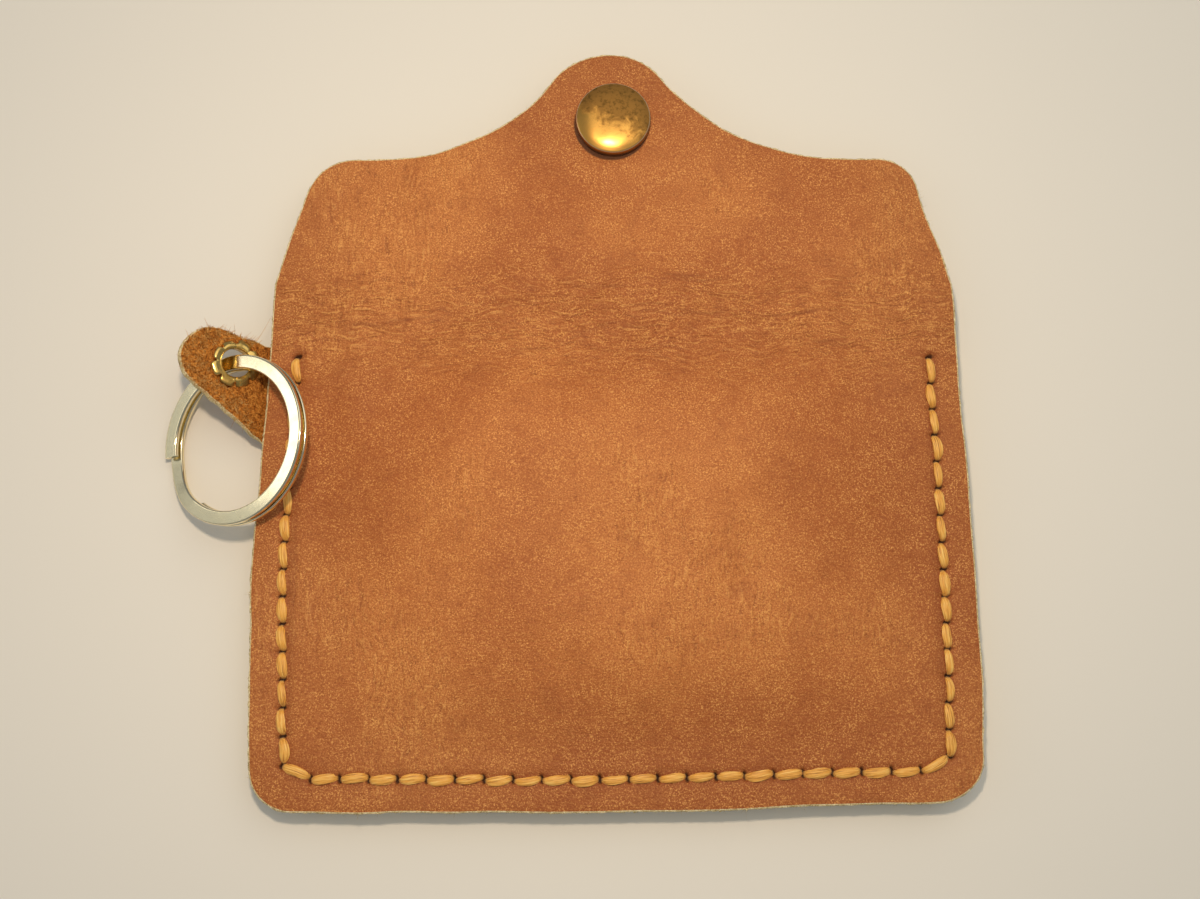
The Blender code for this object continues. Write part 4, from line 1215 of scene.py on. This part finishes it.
        # Radius, height, and how far the point follows the petals
        profile = np.array([
            (bore, -seat - 0.05, 0.0), (bore + 0.12, -seat - 0.24, 0.0),
            (flange - 0.45, -seat - 0.30, 0.0), (flange - 0.12, -seat - 0.22, 0.0),
            (flange, -seat - 0.08, 0.0), (flange - 0.10, -seat, 0.0),
            (barrel, -seat, 0.0), (barrel, 0.0, 0.0), (barrel, seat - 0.05, 0.0),
            (barrel + 0.15, seat, 0.15), (flange - 0.15, seat - 0.06, 1.0),
            (flange, seat - 0.02, 1.0), (flange + 0.02, seat + 0.08, 1.0),
            (flange - 0.12, seat + 0.22, 1.0), (flange - 0.5, seat + 0.36, 0.85),
            (barrel + 0.25, seat + 0.42, 0.3), (barrel - 0.15, seat + 0.42, 0.0),
            (mouth + 0.08, seat + 0.34, 0.0), (mouth, seat + 0.16, 0.0),
            (mouth + 0.06, seat - 0.1, 0.0), (bore, seat - 0.4, 0.0), (bore, 0.0, 0.0)])
        out, up, follow = (profile[:, part, None] for part in range(3))
        radius = out + follow * (out - barrel) * (reach - 1.0 - 0.92 * notch)
        height = up + follow * (tilt - 0.18 * notch)
        flat = raised(self.eyelet + radius[:, :, None] * round_about(angle), height)
        Mesh().add(self.stand(flat).reshape(-1, 3),
                   [grid_faces(len(profile), steps, wrap_rows=True, wrap_columns=True)]).build(
            "eyelet", (brass,), "bright_brass", ("tab_eyelet",), "key_tab", 75.0)


@dataclass(frozen=True)
class SplitRing:
    """The double ring of flat wire that hangs in the eyelet and leans on the table."""

    radius: float = 12.5
    wire_width: float = 2.1
    wire_height: float = 0.73
    turn_gap: float = 0.45
    corner: float = 0.24
    corner_guard: float = 0.05
    step_start: float = 191.0
    step_end: float = 235.0
    end_room: float = 2.0
    stations: int = 420

    def build(self, nickel: Material) -> None:
        """Build the ring.

        Its middle line is (R cos a, R sin a, h) over two turns less a gap, and h goes from the
        lower turn to the upper by a smooth step between two angles.

        Args:
            nickel: Finish of the wire.
        """
        start = math.radians(self.step_end + self.end_room)
        end = math.radians(self.step_start - self.end_room) + 2 * math.tau
        angle = np.linspace(start, end, self.stations)
        share = (np.degrees(angle) - self.step_start - 360.0) / (self.step_end - self.step_start)
        height = (self.wire_height + self.turn_gap) * (smooth_step(share) - 0.5)
        middle = self.radius - self.wire_width / 2
        up = unit(PLACES.ring_axis)
        forward = np.array([0.0, 1.0, 0.0])
        outwards = round_about(angle) @ np.stack([np.cross(forward, up), forward])
        path = PLACES.ring_centre + middle * outwards + height[:, None] * up
        half = np.array([self.wire_width, self.wire_height]) / 2 - self.corner
        corners = [arc(half * signs, self.corner, turn * QUARTER, (turn + 1) * QUARTER, 4)
                   for turn, signs in enumerate(((1, 1), (-1, 1), (-1, -1), (1, -1)))]
        # A point just past each corner keeps the flats' shading flat
        section = []
        for corner, after in zip(corners, corners[1:] + corners[:1]):
            guard = self.corner_guard * unit(after[0] - corner[-1])
            section += [corner, corner[-1:] + guard, after[:1] - guard]
        section = np.concatenate(section)
        section = np.broadcast_to(section, (self.stations, *section.shape))
        length = np.broadcast_to((middle * angle)[:, None, None], (*section.shape[:2], 1))
        Mesh().tube(path, outwards, section, np.concatenate([length, section], -1)).build(
            "ring_wire", (nickel,), "polished_nickel", ("split_ring",), "key_ring", 50.0)


@dataclass(frozen=True)
class Snap:
    """The snap: a domed cap and a socket with its spring on the flap, a stud on the front panel."""

    leather: Leatherwork
    roll: float = 0.30
    cap_radius: float = 5.65
    cap_height: float = 2.1
    cap_edge: float = 1.4
    cap_wall: float = 0.45
    cap_dents: Waves = Waves(0.012, 81, 4.0, 7)
    post_radius: float = 1.4
    gap: float = 0.3
    socket_radius: float = 4.9
    socket_body: float = 4.4
    spring_radius: float = 2.97
    spring_height: float = 0.975
    spring_wire: float = 0.32
    spring_opening: float = 17.0
    stud_lift: float = 2.5

    @property
    def under_flap(self) -> float:
        """Height of the flap's underside at the snap."""
        return self.leather.back_border + self.leather.tab_rise

    def build_cap(self, brass: Material) -> None:
        """Build the cap: a dome, a rolled rim, and the spread post beneath.

        The dome is flat in the middle and steeper outwards, at a height d (1 - (r / R)^4).
        """
        rim = self.under_flap + self.leather.thickness + 0.12
        crown = rim + self.cap_height + 0.1
        dome = self.cap_height - self.cap_edge
        edge, wall, post = self.cap_radius, self.cap_wall, self.post_radius
        foot = crown - dome
        seat = self.under_flap - 3 * self.gap - 0.2
        profile = [((edge - self.roll) * share, crown - dome * share ** 4)
                   for share in np.linspace(0.0, 1.0, 26)]
        profile += [(edge - 0.16, foot - 0.06), (edge - 0.04, foot - 0.18), (edge, foot - 0.34),
                    (edge, rim + 0.22), (edge - 0.07, rim + 0.08), (edge - 0.22, rim),
                    (edge - wall, rim), (edge - 2 * wall, rim + wall), (post, rim + 0.4),
                    (post, seat), (post + 0.55, seat - 0.1), (post + 0.5, seat - 0.35),
                    (0.0, seat - 0.35)]

        def dents(x: Array, y: Array) -> Array:
            """Small dents from use, which die out at the edge."""
            return self.cap_dents.at(x, y) * (1 - (np.hypot(x, y) / edge) ** 2)

        centre = np.array([0.0, self.leather.snap_height, 0.0])
        Mesh().lathe(profile, centre, 144, dents).build(
            "cap_dome", (brass,), "antique_brass", ("snap_cap",), "flap", 50.0)

    def build_socket(self, brass: Material, steel: Material) -> None:
        """Build the socket under the flap, with the open spring ring in its groove."""
        top = self.under_flap - 0.1
        under = top - 0.7
        hole, out, body = self.post_radius + self.gap, self.socket_radius, self.socket_body
        profile = [(hole, top), (out - 0.15, top), (out, top - 0.15), (out, under + 0.15),
                   (out - 0.15, under), (body + 0.1, under), (body, under - 0.12), (body, 0.35),
                   (body - 0.1, 0.12), (body - 0.35, 0.0), (3.15, 0.0), (2.95, 0.08), (2.9, 0.2),
                   (2.9, 0.35), (3.7, 0.35), (3.7, 1.6), (3.0, 1.6), (3.0, under), (hole, under)]
        centre = np.array([0.0, self.leather.snap_height, 0.0])
        Mesh().lathe(profile, centre).build(
            "socket", (brass,), "antique_brass", ("snap_socket",), "flap", 35.0)

        stations, around = 90, 12
        opening = math.radians(self.spring_opening)
        angle = np.linspace(opening, math.tau - opening, stations)
        outwards = raised(round_about(angle), np.zeros(stations))
        path = centre + outwards * self.spring_radius + np.array([0.0, 0.0, self.spring_height])
        section = np.broadcast_to(self.spring_wire * round_about(full_turn(around)),
                                  (stations, around, 2))
        Mesh().tube(path, outwards, section).build(
            "spring_ring", (steel,), "spring_steel", ("snap_spring_ring",), "flap", 50.0)

    def build_stud(self, brass: Material) -> None:
        """Build the stud under the front panel, and the rivet that holds it from inside."""
        lift = self.stud_lift
        seat = lift + 2 * self.gap + self.leather.thickness
        stud = [(0.0, 0.4), (1.75, 0.4), (1.75, lift - 0.35), (1.2, lift - 0.35), (1.2, lift),
                (3.55, lift), (3.7, lift - 0.12), (3.7, lift - 0.25), (3.55, lift - 0.35),
                (2.6, lift - 0.35), (2.3, lift - 0.5), (2.15, lift - 0.75), (2.15, 1.15),
                (2.3, 0.98), (2.45, 0.85), (2.5, 0.65), (2.47, 0.4), (2.38, 0.18), (2.2, 0.05),
                (2.0, 0.0), (0.0, 0.0)]
        rivet = [(0.0, seat + 0.42), (3.3, seat + 0.4), (3.6, seat + 0.3), (3.75, seat + 0.12),
                 (3.7, seat), (0.9, seat), (0.9, lift - 0.65), (1.35, lift - 0.7),
                 (1.45, lift - 0.9), (1.3, lift - 1.0), (0.0, lift - 1.0)]
        centre = np.array([0.0, self.leather.stud_height, 0.0])
        for name, replaced, profile, steps in (("stud", "snap_stud", stud, 96),
                                               ("rivet", "snap_post", rivet, 72)):
            Mesh().lathe(profile, centre, steps).build(
                name, (brass,), "antique_brass", (replaced,), "body", 35.0)


class Finish:
    """A material under construction, with short ways to add the nodes that it needs."""

    def __init__(self, name: str, colour: Colour, roughness: float, metallic: float = 0.0,
                 specular: float = 0.5) -> None:
        """Start a material on a Principled shader.

        Args:
            name: The material's name.
            colour: Its base colour, which the layers cover bit by bit.
            roughness: Its roughness, where no node gives one.
            metallic: Its metallic value.
            specular: Its specular level.
        """
        self.material = bpy.data.materials.new(name)
        self.material.use_nodes = True
        self.tree = self.material.node_tree
        self.shader = self.tree.nodes["Principled BSDF"]
        self.colour: Colour | Socket = colour
        self.fill(self.shader, {"Roughness": roughness, "Metallic": metallic,
                                "Specular IOR Level": specular})

    def fill(self, node: bpy.types.Node, inputs: dict) -> bpy.types.Node:
        """Link each named input to an output, or set its own value."""
        for key, value in inputs.items():
            socket = node.inputs[key]
            if isinstance(value, Socket):
                self.tree.links.new(value, socket)
            else:
                socket.default_value = (*value, 1.0) if socket.type == "RGBA" else value
        return node

    def node(self, kind: str, inputs: dict, **settings: object) -> bpy.types.Node:
        """Add a node, set its properties and fill its inputs."""
        node = self.tree.nodes.new("ShaderNode" + kind)
        for name, value in settings.items():
            setattr(node, name, value)
        return self.fill(node, inputs)

    def attribute(self, name: str) -> Socket:
        """One of the vectors that the mesh keeps at its points."""
        return self.node("Attribute", {}, attribute_name=name).outputs["Vector"]

    def parts(self, source: Socket) -> tuple[Socket, ...]:
        """The three parts of a vector."""
        return tuple(self.node("SeparateXYZ", {"Vector": source}).outputs)

    def stretch(self, source: Socket, scale: Triple, turn: float = 0.0) -> Socket:
        """Coordinates scaled by axis, and turned in plan by degrees."""
        inputs = {"Vector": source, "Scale": scale, "Rotation": (0.0, 0.0, math.radians(turn))}
        return self.node("Mapping", inputs, vector_type="POINT").outputs["Vector"]

    def noise(self, source: Socket, scale: float, detail: float = 3.0, roughness: float = 0.5,
              distortion: float = 0.0) -> Socket:
        """Noise about 0.5, with a scale in cells a millimetre."""
        inputs = {"Vector": source, "Scale": scale, "Detail": detail, "Roughness": roughness,
                  "Distortion": distortion}
        return self.node("TexNoise", inputs).outputs["Fac"]

    def warp(self, source: Socket, scale: float, reach: float) -> Socket:
        """Coordinates pushed about by noise, by up to half a reach in millimetres."""
        cloud = self.node("TexNoise", {"Vector": source, "Scale": scale}).outputs["Color"]
        return self.node("VectorMath", {0: cloud, 1: (reach,) * 3, 2: source},
                         operation="MULTIPLY_ADD").outputs["Vector"]

    def near(self, source: Socket, spot: Triple, inner: float) -> Socket:
        """Share of a round spot (x, y, radius): 1 within an inner radius, 0 outside."""
        inputs = {0: self.stretch(source, (1.0, 1.0, 0.0)), 1: (spot[0], spot[1], 0.0)}
        away = self.node("VectorMath", inputs, operation="DISTANCE").outputs["Value"]
        return self.span(away, spot[2], inner)

    def math(self, operation: str, first: object, second: object = 0.0) -> Socket:
        """A sum, product or the like of two values."""
        return self.node("Math", {0: first, 1: second}, operation=operation).outputs["Value"]

    def add(self, first: Socket, second: Socket) -> Socket:
        """The sum of two values."""
        return self.math("ADD", first, second)

    def times(self, first: Socket, second: object) -> Socket:
        """The product of two values."""
        return self.math("MULTIPLY", first, second)

    def off(self, value: Socket, middle: float) -> Socket:
        """Distance of a value from a middle one."""
        return self.math("ABSOLUTE", self.math("SUBTRACT", value, middle))

    def span(self, value: Socket, low: float, high: float, to_low: float = 0.0,
             to_high: float = 1.0) -> Socket:
        """A value taken from one range to another, and kept within it."""
        inputs = {"From Min": low, "From Max": high, "To Min": to_low, "To Max": to_high,
                  "Value": value}
        return self.node("MapRange", inputs, clamp=True,
                         interpolation_type="SMOOTHSTEP").outputs["Result"]

    def ramp(self, value: Socket, stops: Sequence[tuple[float, Colour]]) -> Socket:
        """A colour for each value, between stops."""
        node = self.node("ValToRGB", {"Fac": value})
        elements = node.color_ramp.elements
        while len(elements) < len(stops):
            elements.new(0.5)
        for element, (position, colour) in zip(elements, stops):
            element.position = position
            element.color = (*colour, 1.0)
        return node.outputs["Color"]

    def mix(self, share: Socket, first: object, second: object) -> Socket:
        """Two colours mixed by a share."""
        node = self.node("Mix", {"Factor": share}, data_type="RGBA")
        keys = [key for key, socket in enumerate(node.inputs) if socket.type == "RGBA"]
        self.fill(node, dict(zip(keys, (first, second))))
        return next(socket for socket in node.outputs if socket.type == "RGBA")

    def cover(self, share: Socket, over: Colour | Socket) -> None:
        """Cover a share of the colour with another."""
        self.colour = self.mix(share, self.colour, over)

    def tint(self, over: Colour, value: Socket, low: float, high: float, most: float = 1.0) -> None:
        """Cover the colour with another, by up to a share as a value goes from low to high."""
        self.cover(self.span(value, low, high, 0.0, most), over)

    def done(self, *reliefs: tuple[Socket, float, float], **inputs: object) -> Material:
        """Finish the material.

        Args:
            reliefs: Layers of bump, each a height, a strength and a depth in millimetres.
            inputs: Other inputs of the shader, with a _ for each space.

        Returns:
            The material.
        """
        normal: dict = {}
        for height, strength, depth in reliefs:
            bump = self.node("Bump", {"Height": height, "Strength": strength,
                                      "Distance": depth * MILLIMETRE, **normal})
            normal = {"Normal": bump.outputs["Normal"]}
        others = {name.replace("_", " "): value for name, value in inputs.items()}
        self.fill(self.shader, {"Base Color": self.colour, **normal, **others})
        return self.material


@dataclass(frozen=True)
class GrainLeather:
    """Oiled nubuck: warm brown under a dense pale dust of nap, finely wrinkled by the fold.

    Attributes:
        tone: Its usual colour.
        pale: Colour of the dust.
        deep: Colour between the dust, of darker patches, of the borders and of painted shade.
        pale_tone_and_painted_light: Colour of paler patches and of the middle's painted light.
        shade_colour: Colour of the painted shade in the stitch slits and round the cap's edge.
        worn_and_lit_middle: Place and radius of the paler middle, worn and painted as lit.
        cap_shadow: Place and radius of the painted shadow round the cap's edge.
        fold: Height in plan of the fold's wrinkles.
    """

    tone: Colour = (0.405, 0.109, 0.021)
    pale: Colour = (0.88, 0.43, 0.115)
    deep: Colour = (0.22, 0.050, 0.010)
    pale_tone_and_painted_light: Colour = (0.53, 0.170, 0.037)
    shade_colour: Colour = (0.075, 0.025, 0.008)
    worn_and_lit_middle: Triple = (8.0, 36.0, 24.0)
    cap_shadow: Triple = (-0.2, 101.28, 5.92)
    fold: float = 70.0

    @staticmethod
    def wrinkles(finish: Finish, place: Socket, scale: Triple, mask: Socket) -> Socket:
        """Ripples about nought, long one way and short the other, where the mask lets them be."""
        wavy = finish.stretch(finish.warp(place, 0.14, 4.0), scale)
        return finish.times(finish.math("SUBTRACT", finish.noise(wavy, 1.0, 2.0, 0.6), 0.5), mask)

    def make(self) -> Material:
        """Make the material."""
        finish = Finish("oiled_grain", self.tone, 0.58, specular=0.28)
        place = finish.attribute("place")
        across, along, _ = finish.parts(place)
        slit, valley, wrinkle = finish.parts(finish.attribute("lay"))
        cloud = finish.noise(place, 0.03, 3.0, 0.5, 0.3)
        mottle = finish.noise(place, 0.22, 4.0, 0.6, 0.3)
        # A paler middle of the body: partly wear, partly a painted pool of light
        worn_and_lit = finish.times(finish.near(place, self.worn_and_lit_middle, 0.0), 0.13)
        finish.tint(self.pale_tone_and_painted_light, finish.add(cloud, worn_and_lit), 0.38, 0.66)
        finish.tint(self.deep, mottle, 0.48, 0.28, 0.20)

        # Darker towards the borders: partly from handling, partly painted shade where the light
        # falls off
        ends = finish.math("MAXIMUM", finish.span(along, 22.0, 2.0, 0.0, 0.30),
                           finish.span(along, 92.0, 110.0, 0.0, 0.30))
        edges = finish.span(finish.off(across, 0.0), 30.0, 50.0, 0.0, 0.26)
        finish.cover(finish.math("MAXIMUM", ends, edges), self.deep)

        # Ripples lie level along the fold, and upright in patches of the body
        by_fold = finish.span(finish.off(along, self.fold), 15.0, 1.0, 0.25, 0.85)
        in_patches = finish.span(cloud, 0.52, 0.60, 0.1, 0.65)
        ripple = finish.add(self.wrinkles(finish, place, (0.34, 3.0, 1.0), by_fold),
                            self.wrinkles(finish, place, (2.1, 0.34, 1.0), in_patches))
        # Painted shade in the ripples' troughs and painted light on their crests
        finish.tint(self.deep, ripple, -0.02, -0.17, 0.5)
        finish.tint(self.pale, ripple, 0.02, 0.18, 0.4)

        # Dust in specks, and in curls where a finely curled noise passes its middle value
        speck = finish.noise(place, 4.3, 3.0, 0.74)
        patch = finish.span(mottle, 0.36, 0.62, 0.5, 1.0)
        finish.tint(self.deep, speck, 0.48, 0.33, 0.65)
        finish.cover(finish.times(finish.span(speck, 0.515, 0.65, 0.0, 0.80), patch), self.pale)
        curl = finish.noise(finish.warp(place, 2.4, 0.4), 2.8, 1.5, 0.45)
        line = finish.span(finish.off(curl, 0.5), 0.06, 0.0)
        ragged = finish.span(finish.noise(place, 4.2, 2.0, 0.7), 0.44, 0.60, 0.0, 0.38)
        finish.cover(finish.times(finish.times(line, patch), ragged), self.pale)

        # Painted shade in the seam's valley and along the wrinkles
        finish.tint(self.deep, valley, 0.2, 1.0, 0.35)
        finish.tint(self.deep, wrinkle, 0.15, 1.5, 0.5)
        # Painted shadow round the cap's edge: a dark disc set off towards the lower left
        outline = finish.near(place, self.cap_shadow, self.cap_shadow[2] - 0.3)
        finish.cover(finish.times(outline, 0.9), self.shade_colour)
        # Painted shade in the stitch slits
        finish.tint(self.shade_colour, slit, 0.12, 0.7)
        fine = finish.noise(place, 5.0, 3.0, 0.7)
        folds = finish.noise(finish.stretch(place, (0.45, 1.7, 1.0)), 0.9, 5.0, 0.65, 0.9)
        return finish.done((speck, 0.6, 0.07), (fine, 0.5, 0.05), (ripple, 0.8, 0.45),
                           (folds, 0.5, 0.18))


@dataclass(frozen=True)
class FleshLeather:
    """A rough side or a raw cut edge: matt and fibrous.

    Attributes:
        name: The material's name.
        tone: Its usual colour.
        pale: Colour of the fibres that stand up.
        deep: Colour between them.
        nap: Height of the fibres in millimetres.
        scale: Fibres a millimetre.
    """

    name: str
    tone: Colour
    pale: Colour
    deep: Colour
    nap: float
    scale: float

    def make(self) -> Material:
        """Make the material."""
        finish = Finish(self.name, self.tone, 0.95, specular=0.15)
        wander = finish.warp(finish.attribute("place"), self.scale, 0.5 / self.scale)
        felt = finish.noise(wander, self.scale, 5.0, 0.68, 1.2)
        combed = finish.stretch(wander, (1.0, 0.4, 1.0), 35.0)
        hair = finish.noise(combed, 2.6 * self.scale, 3.0, 0.65, 2.2)
        both = finish.add(finish.times(felt, 0.6), finish.times(hair, 0.4))
        finish.colour = finish.ramp(both, [(0.41, self.deep), (0.5, self.tone), (0.60, self.pale)])
        return finish.done((felt, 0.8, self.nap), (hair, 0.7, self.nap * 0.6))


@dataclass(frozen=True)
class WaxedThread:
    """Golden tan thread, waxed, with its filaments lying along it, and painted shade in the holes.
    """

    tone: Colour = (0.82, 0.370, 0.048)
    pale: Colour = (0.98, 0.66, 0.180)
    deep: Colour = (0.28, 0.085, 0.010)
    hole_shade_colour: Colour = (0.085, 0.027, 0.007)

    def make(self) -> Material:
        """Make the material."""
        finish = Finish("waxed_linen", self.tone, 0.5)
        lay = finish.attribute("lay")
        strands = finish.noise(finish.stretch(lay, (0.35, 7.0, 7.0)), 1.0, 3.0, 0.6, 0.3)
        stops = [(0.3, self.deep), (0.48, self.tone), (0.7, self.pale)]
        finish.colour = finish.ramp(strands, stops)
        patch = finish.noise(finish.attribute("place"), 0.5, 2.0)
        finish.tint(self.tone, patch, 0.3, 0.7, 0.35)
        # Painted shade where the thread sinks into the holes
        finish.tint(self.hole_shade_colour, finish.parts(lay)[2], 0.5, 9.0)
        return finish.done((strands, 0.7, 0.09), Sheen_Weight=0.1)


@dataclass(frozen=True)
class Metal:
    """A metal finish with tarnish in blotches and hair scratches.

    Attributes:
        name: The material's name.
        tone: Colour of clean metal.
        stain: Colour where it is tarnished.
        tarnish: How much of it is stained, from 0 to 1.
        roughness: Roughness of clean metal.
        scratch: Depth of the scratches in millimetres.
        wave: Depth of a slow unevenness of the plate in millimetres.
        clean_below: Height in plan below which it is less stained; the stain grows upwards and to
            the right.
        rim_highlight: Radius of a painted highlight line on the rim, with painted shade past it.
        pale_tone_and_painted_light: Colour of that painted highlight line.
    """

    name: str
    tone: Colour
    stain: Colour
    tarnish: float
    roughness: float
    scratch: float = 0.004
    wave: float = 0.0
    clean_below: float | None = None
    rim_highlight: float | None = None
    pale_tone_and_painted_light: Colour = (0.98, 0.90, 0.66)

    def make(self) -> Material:
        """Make the material."""
        finish = Finish(self.name, self.tone, self.roughness, metallic=1.0)
        place = finish.attribute("place")
        blotch = finish.noise(place, 0.42, 6.0, 0.66, 0.6)
        if self.clean_below is not None:
            across, along, _ = finish.parts(place)
            height = finish.add(along, finish.times(across, 0.45))
            slope = finish.times(finish.math("SUBTRACT", height, self.clean_below), 0.085)
            blotch = finish.add(blotch, slope)
        share = finish.span(blotch, 0.34, 0.72, 0.0, self.tarnish)
        spots = finish.span(finish.noise(place, 1.5, 4.0, 0.7), 0.47, 0.66, 0.0, 0.75)
        finish.cover(share, finish.mix(spots, self.stain,
                                       tuple(0.35 * part for part in self.stain)))
        # A painted highlight line on the rim, and painted shade in the stain colour on the wall
        # past it
        if self.rim_highlight is not None:
            radius = finish.parts(finish.attribute("lay"))[0]
            finish.tint(self.pale_tone_and_painted_light, radius, self.rim_highlight, self.rim_highlight + 0.05, 0.5)
            finish.tint(self.stain, radius, self.rim_highlight + 0.11, self.rim_highlight + 0.15, 0.9)
        hazy = finish.span(share, 0.0, 1.0, self.roughness, self.roughness + 0.38)
        hair = finish.noise(finish.stretch(place, (9.0, 0.7, 1.0), 24.0), 1.6, 3.0, 0.7)
        cross = finish.noise(finish.stretch(place, (0.8, 8.0, 1.0), -38.0), 1.4, 3.0, 0.7)
        return finish.done((hair, 0.35, self.scratch), (cross, 0.3, self.scratch),
                           (finish.noise(place, 0.16, 1.0), 1.0, self.wave), Roughness=hazy)


@dataclass(frozen=True)
class Lamp:
    """A square area lamp that faces a target, in metres and watts."""

    name: str
    place: Triple
    target: Triple
    size: float
    power: float
    colour: Colour

    def build(self) -> None:
        """Build the lamp."""
        data = bpy.data.lights.new(self.name, "AREA")
        data.size = self.size
        data.energy = self.power
        data.color = self.colour
        lamp = link(self.name, data)
        lamp.location = self.place
        away = np.array(self.place) - np.array(self.target)
        lamp.rotation_euler = (math.atan2(math.hypot(away[0], away[1]), away[2]), 0.0,
                               math.atan2(away[1], away[0]) + QUARTER)


@dataclass(frozen=True)
class Studio:
    """The camera, the lamps, the table and the pale room around it, in metres."""

    sensor: float = 36.0
    lens: float = 38.01
    camera_place: Triple = (0.005563, -0.04003, 0.1859)
    camera_tilt: float = 10.8
    table_size: float = 1.6
    table_colour: Colour = (0.81, 0.755, 0.645)
    room_colour: Colour = (0.86, 0.92, 0.98)
    room_light: float = 0.40
    room_in_metal: float = 0.24
    lamps: tuple[Lamp, ...] = (
        Lamp("window_light", (0.19, 0.24, 0.42), (0.0, 0.0, 0.0), 0.55, 0.72, (1.0, 0.97, 0.90)),
        Lamp("near_light", (-0.006, 0.022, 0.182), (-0.006, -0.006, 0.0), 0.014, 0.175,
             (1.0, 0.82, 0.64)),
        Lamp("side_panel", (-0.62, 0.06, 0.22), (-0.05, 0.0, 0.0), 0.40, 0.14, (1.0, 0.97, 0.86)),
        Lamp("side_spot", (-0.57, 0.113, 0.261), (-0.05, 0.0, 0.0), 0.08, 0.034,
             (1.0, 0.97, 0.90)))

    def build_camera(self) -> None:
        """Build the camera at the photograph's viewing angle."""
        data = bpy.data.cameras.new("camera")
        data.sensor_width = self.sensor
        data.lens = self.lens
        data.clip_start = 0.01
        camera = link("camera", data)
        camera.location = self.camera_place
        camera.rotation_euler = (math.radians(self.camera_tilt), 0.0, 0.0)
        bpy.context.scene.camera = camera

    def build_table(self) -> None:
        """Build the table: a plain pale sheet that the wallet lies on."""
        half = self.table_size / 2
        corners = [(half * x, half * y, 0.0) for x, y in ((-1, -1), (1, -1), (1, 1), (-1, 1))]
        mesh = bpy.data.meshes.new("table")
        mesh.from_pydata(corners, [], [(0, 1, 2, 3)])
        mesh.materials.append(Finish("pale_paper", self.table_colour, 0.9, specular=0.2).done())
        link("table", mesh)

    def build_room(self) -> None:
        """Build the soft light of the room, which metal shows darker than the light it gives."""
        world = bpy.data.worlds.new("room")
        world.use_nodes = True
        nodes, links = world.node_tree.nodes, world.node_tree.links
        nodes["Background"].inputs["Color"].default_value = (*self.room_colour, 1.0)
        rays = nodes.new("ShaderNodeLightPath")
        dim = nodes.new("ShaderNodeMapRange")
        dim.inputs["To Min"].default_value = self.room_light
        dim.inputs["To Max"].default_value = self.room_in_metal
        links.new(rays.outputs["Is Glossy Ray"], dim.inputs["Value"])
        links.new(dim.outputs["Result"], nodes["Background"].inputs["Strength"])
        bpy.context.scene.world = world

    def build(self) -> None:
        """Build everything that is not the wallet."""
        self.build_camera()
        self.build_room()
        self.build_table()
        for lamp in self.lamps:
            lamp.build()
        bpy.context.scene.view_settings.view_transform = "Standard"


def main() -> None:
    """Build the studio and dress the wallet, piece by piece."""
    logging.basicConfig(level=logging.INFO, format="%(name)s: %(message)s")
    Studio().build()
    grain = GrainLeather().make()
    flesh = FleshLeather("raw_flesh", (0.68, 0.53, 0.26), (0.91, 0.79, 0.49), (0.36, 0.25, 0.10),
                         nap=0.10, scale=1.6).make()
    suede = FleshLeather("tab_suede", (0.50, 0.160, 0.021), (0.84, 0.38, 0.075),
                         (0.12, 0.030, 0.004), nap=0.30, scale=2.1).make()
    hair = FleshLeather("loose_hair", (0.62, 0.30, 0.070), (0.82, 0.50, 0.17), (0.28, 0.09, 0.014),
                        nap=0.02, scale=1.2).make()
    antique = Metal("antique_brass", (0.85, 0.48, 0.11), (0.20, 0.095, 0.020), 0.9, 0.26).make()
    cap = Metal("cap_brass", (0.98, 0.51, 0.11), (0.36, 0.19, 0.048), 0.95, 0.29, scratch=0.006,
                clean_below=99.9, rim_highlight=5.47).make()
    bright = Metal("bright_brass", (0.90, 0.60, 0.18), (0.22, 0.11, 0.02), 0.85, 0.18).make()
    nickel = Metal("pale_nickel", (0.92, 0.82, 0.56), (0.72, 0.58, 0.32), 0.20, 0.11,
                   scratch=0.001, wave=0.012).make()
    steel = Metal("spring_steel", (0.55, 0.55, 0.56), (0.30, 0.29, 0.28), 0.30, 0.30).make()

    leather = Leatherwork()
    leather.build(grain, flesh)
    leather.build_fibres(flesh)
    Stitching(leather).build(WaxedThread().make())
    tab = KeyTab()
    tab.build_leather(suede, flesh)
    tab.build_fibres(hair)
    tab.build_eyelet(bright)
    SplitRing().build(nickel)
    snap = Snap(leather)
    snap.build_cap(cap)
    snap.build_socket(antique, steel)
    snap.build_stud(antique)


if __name__ == "__main__":
    main()
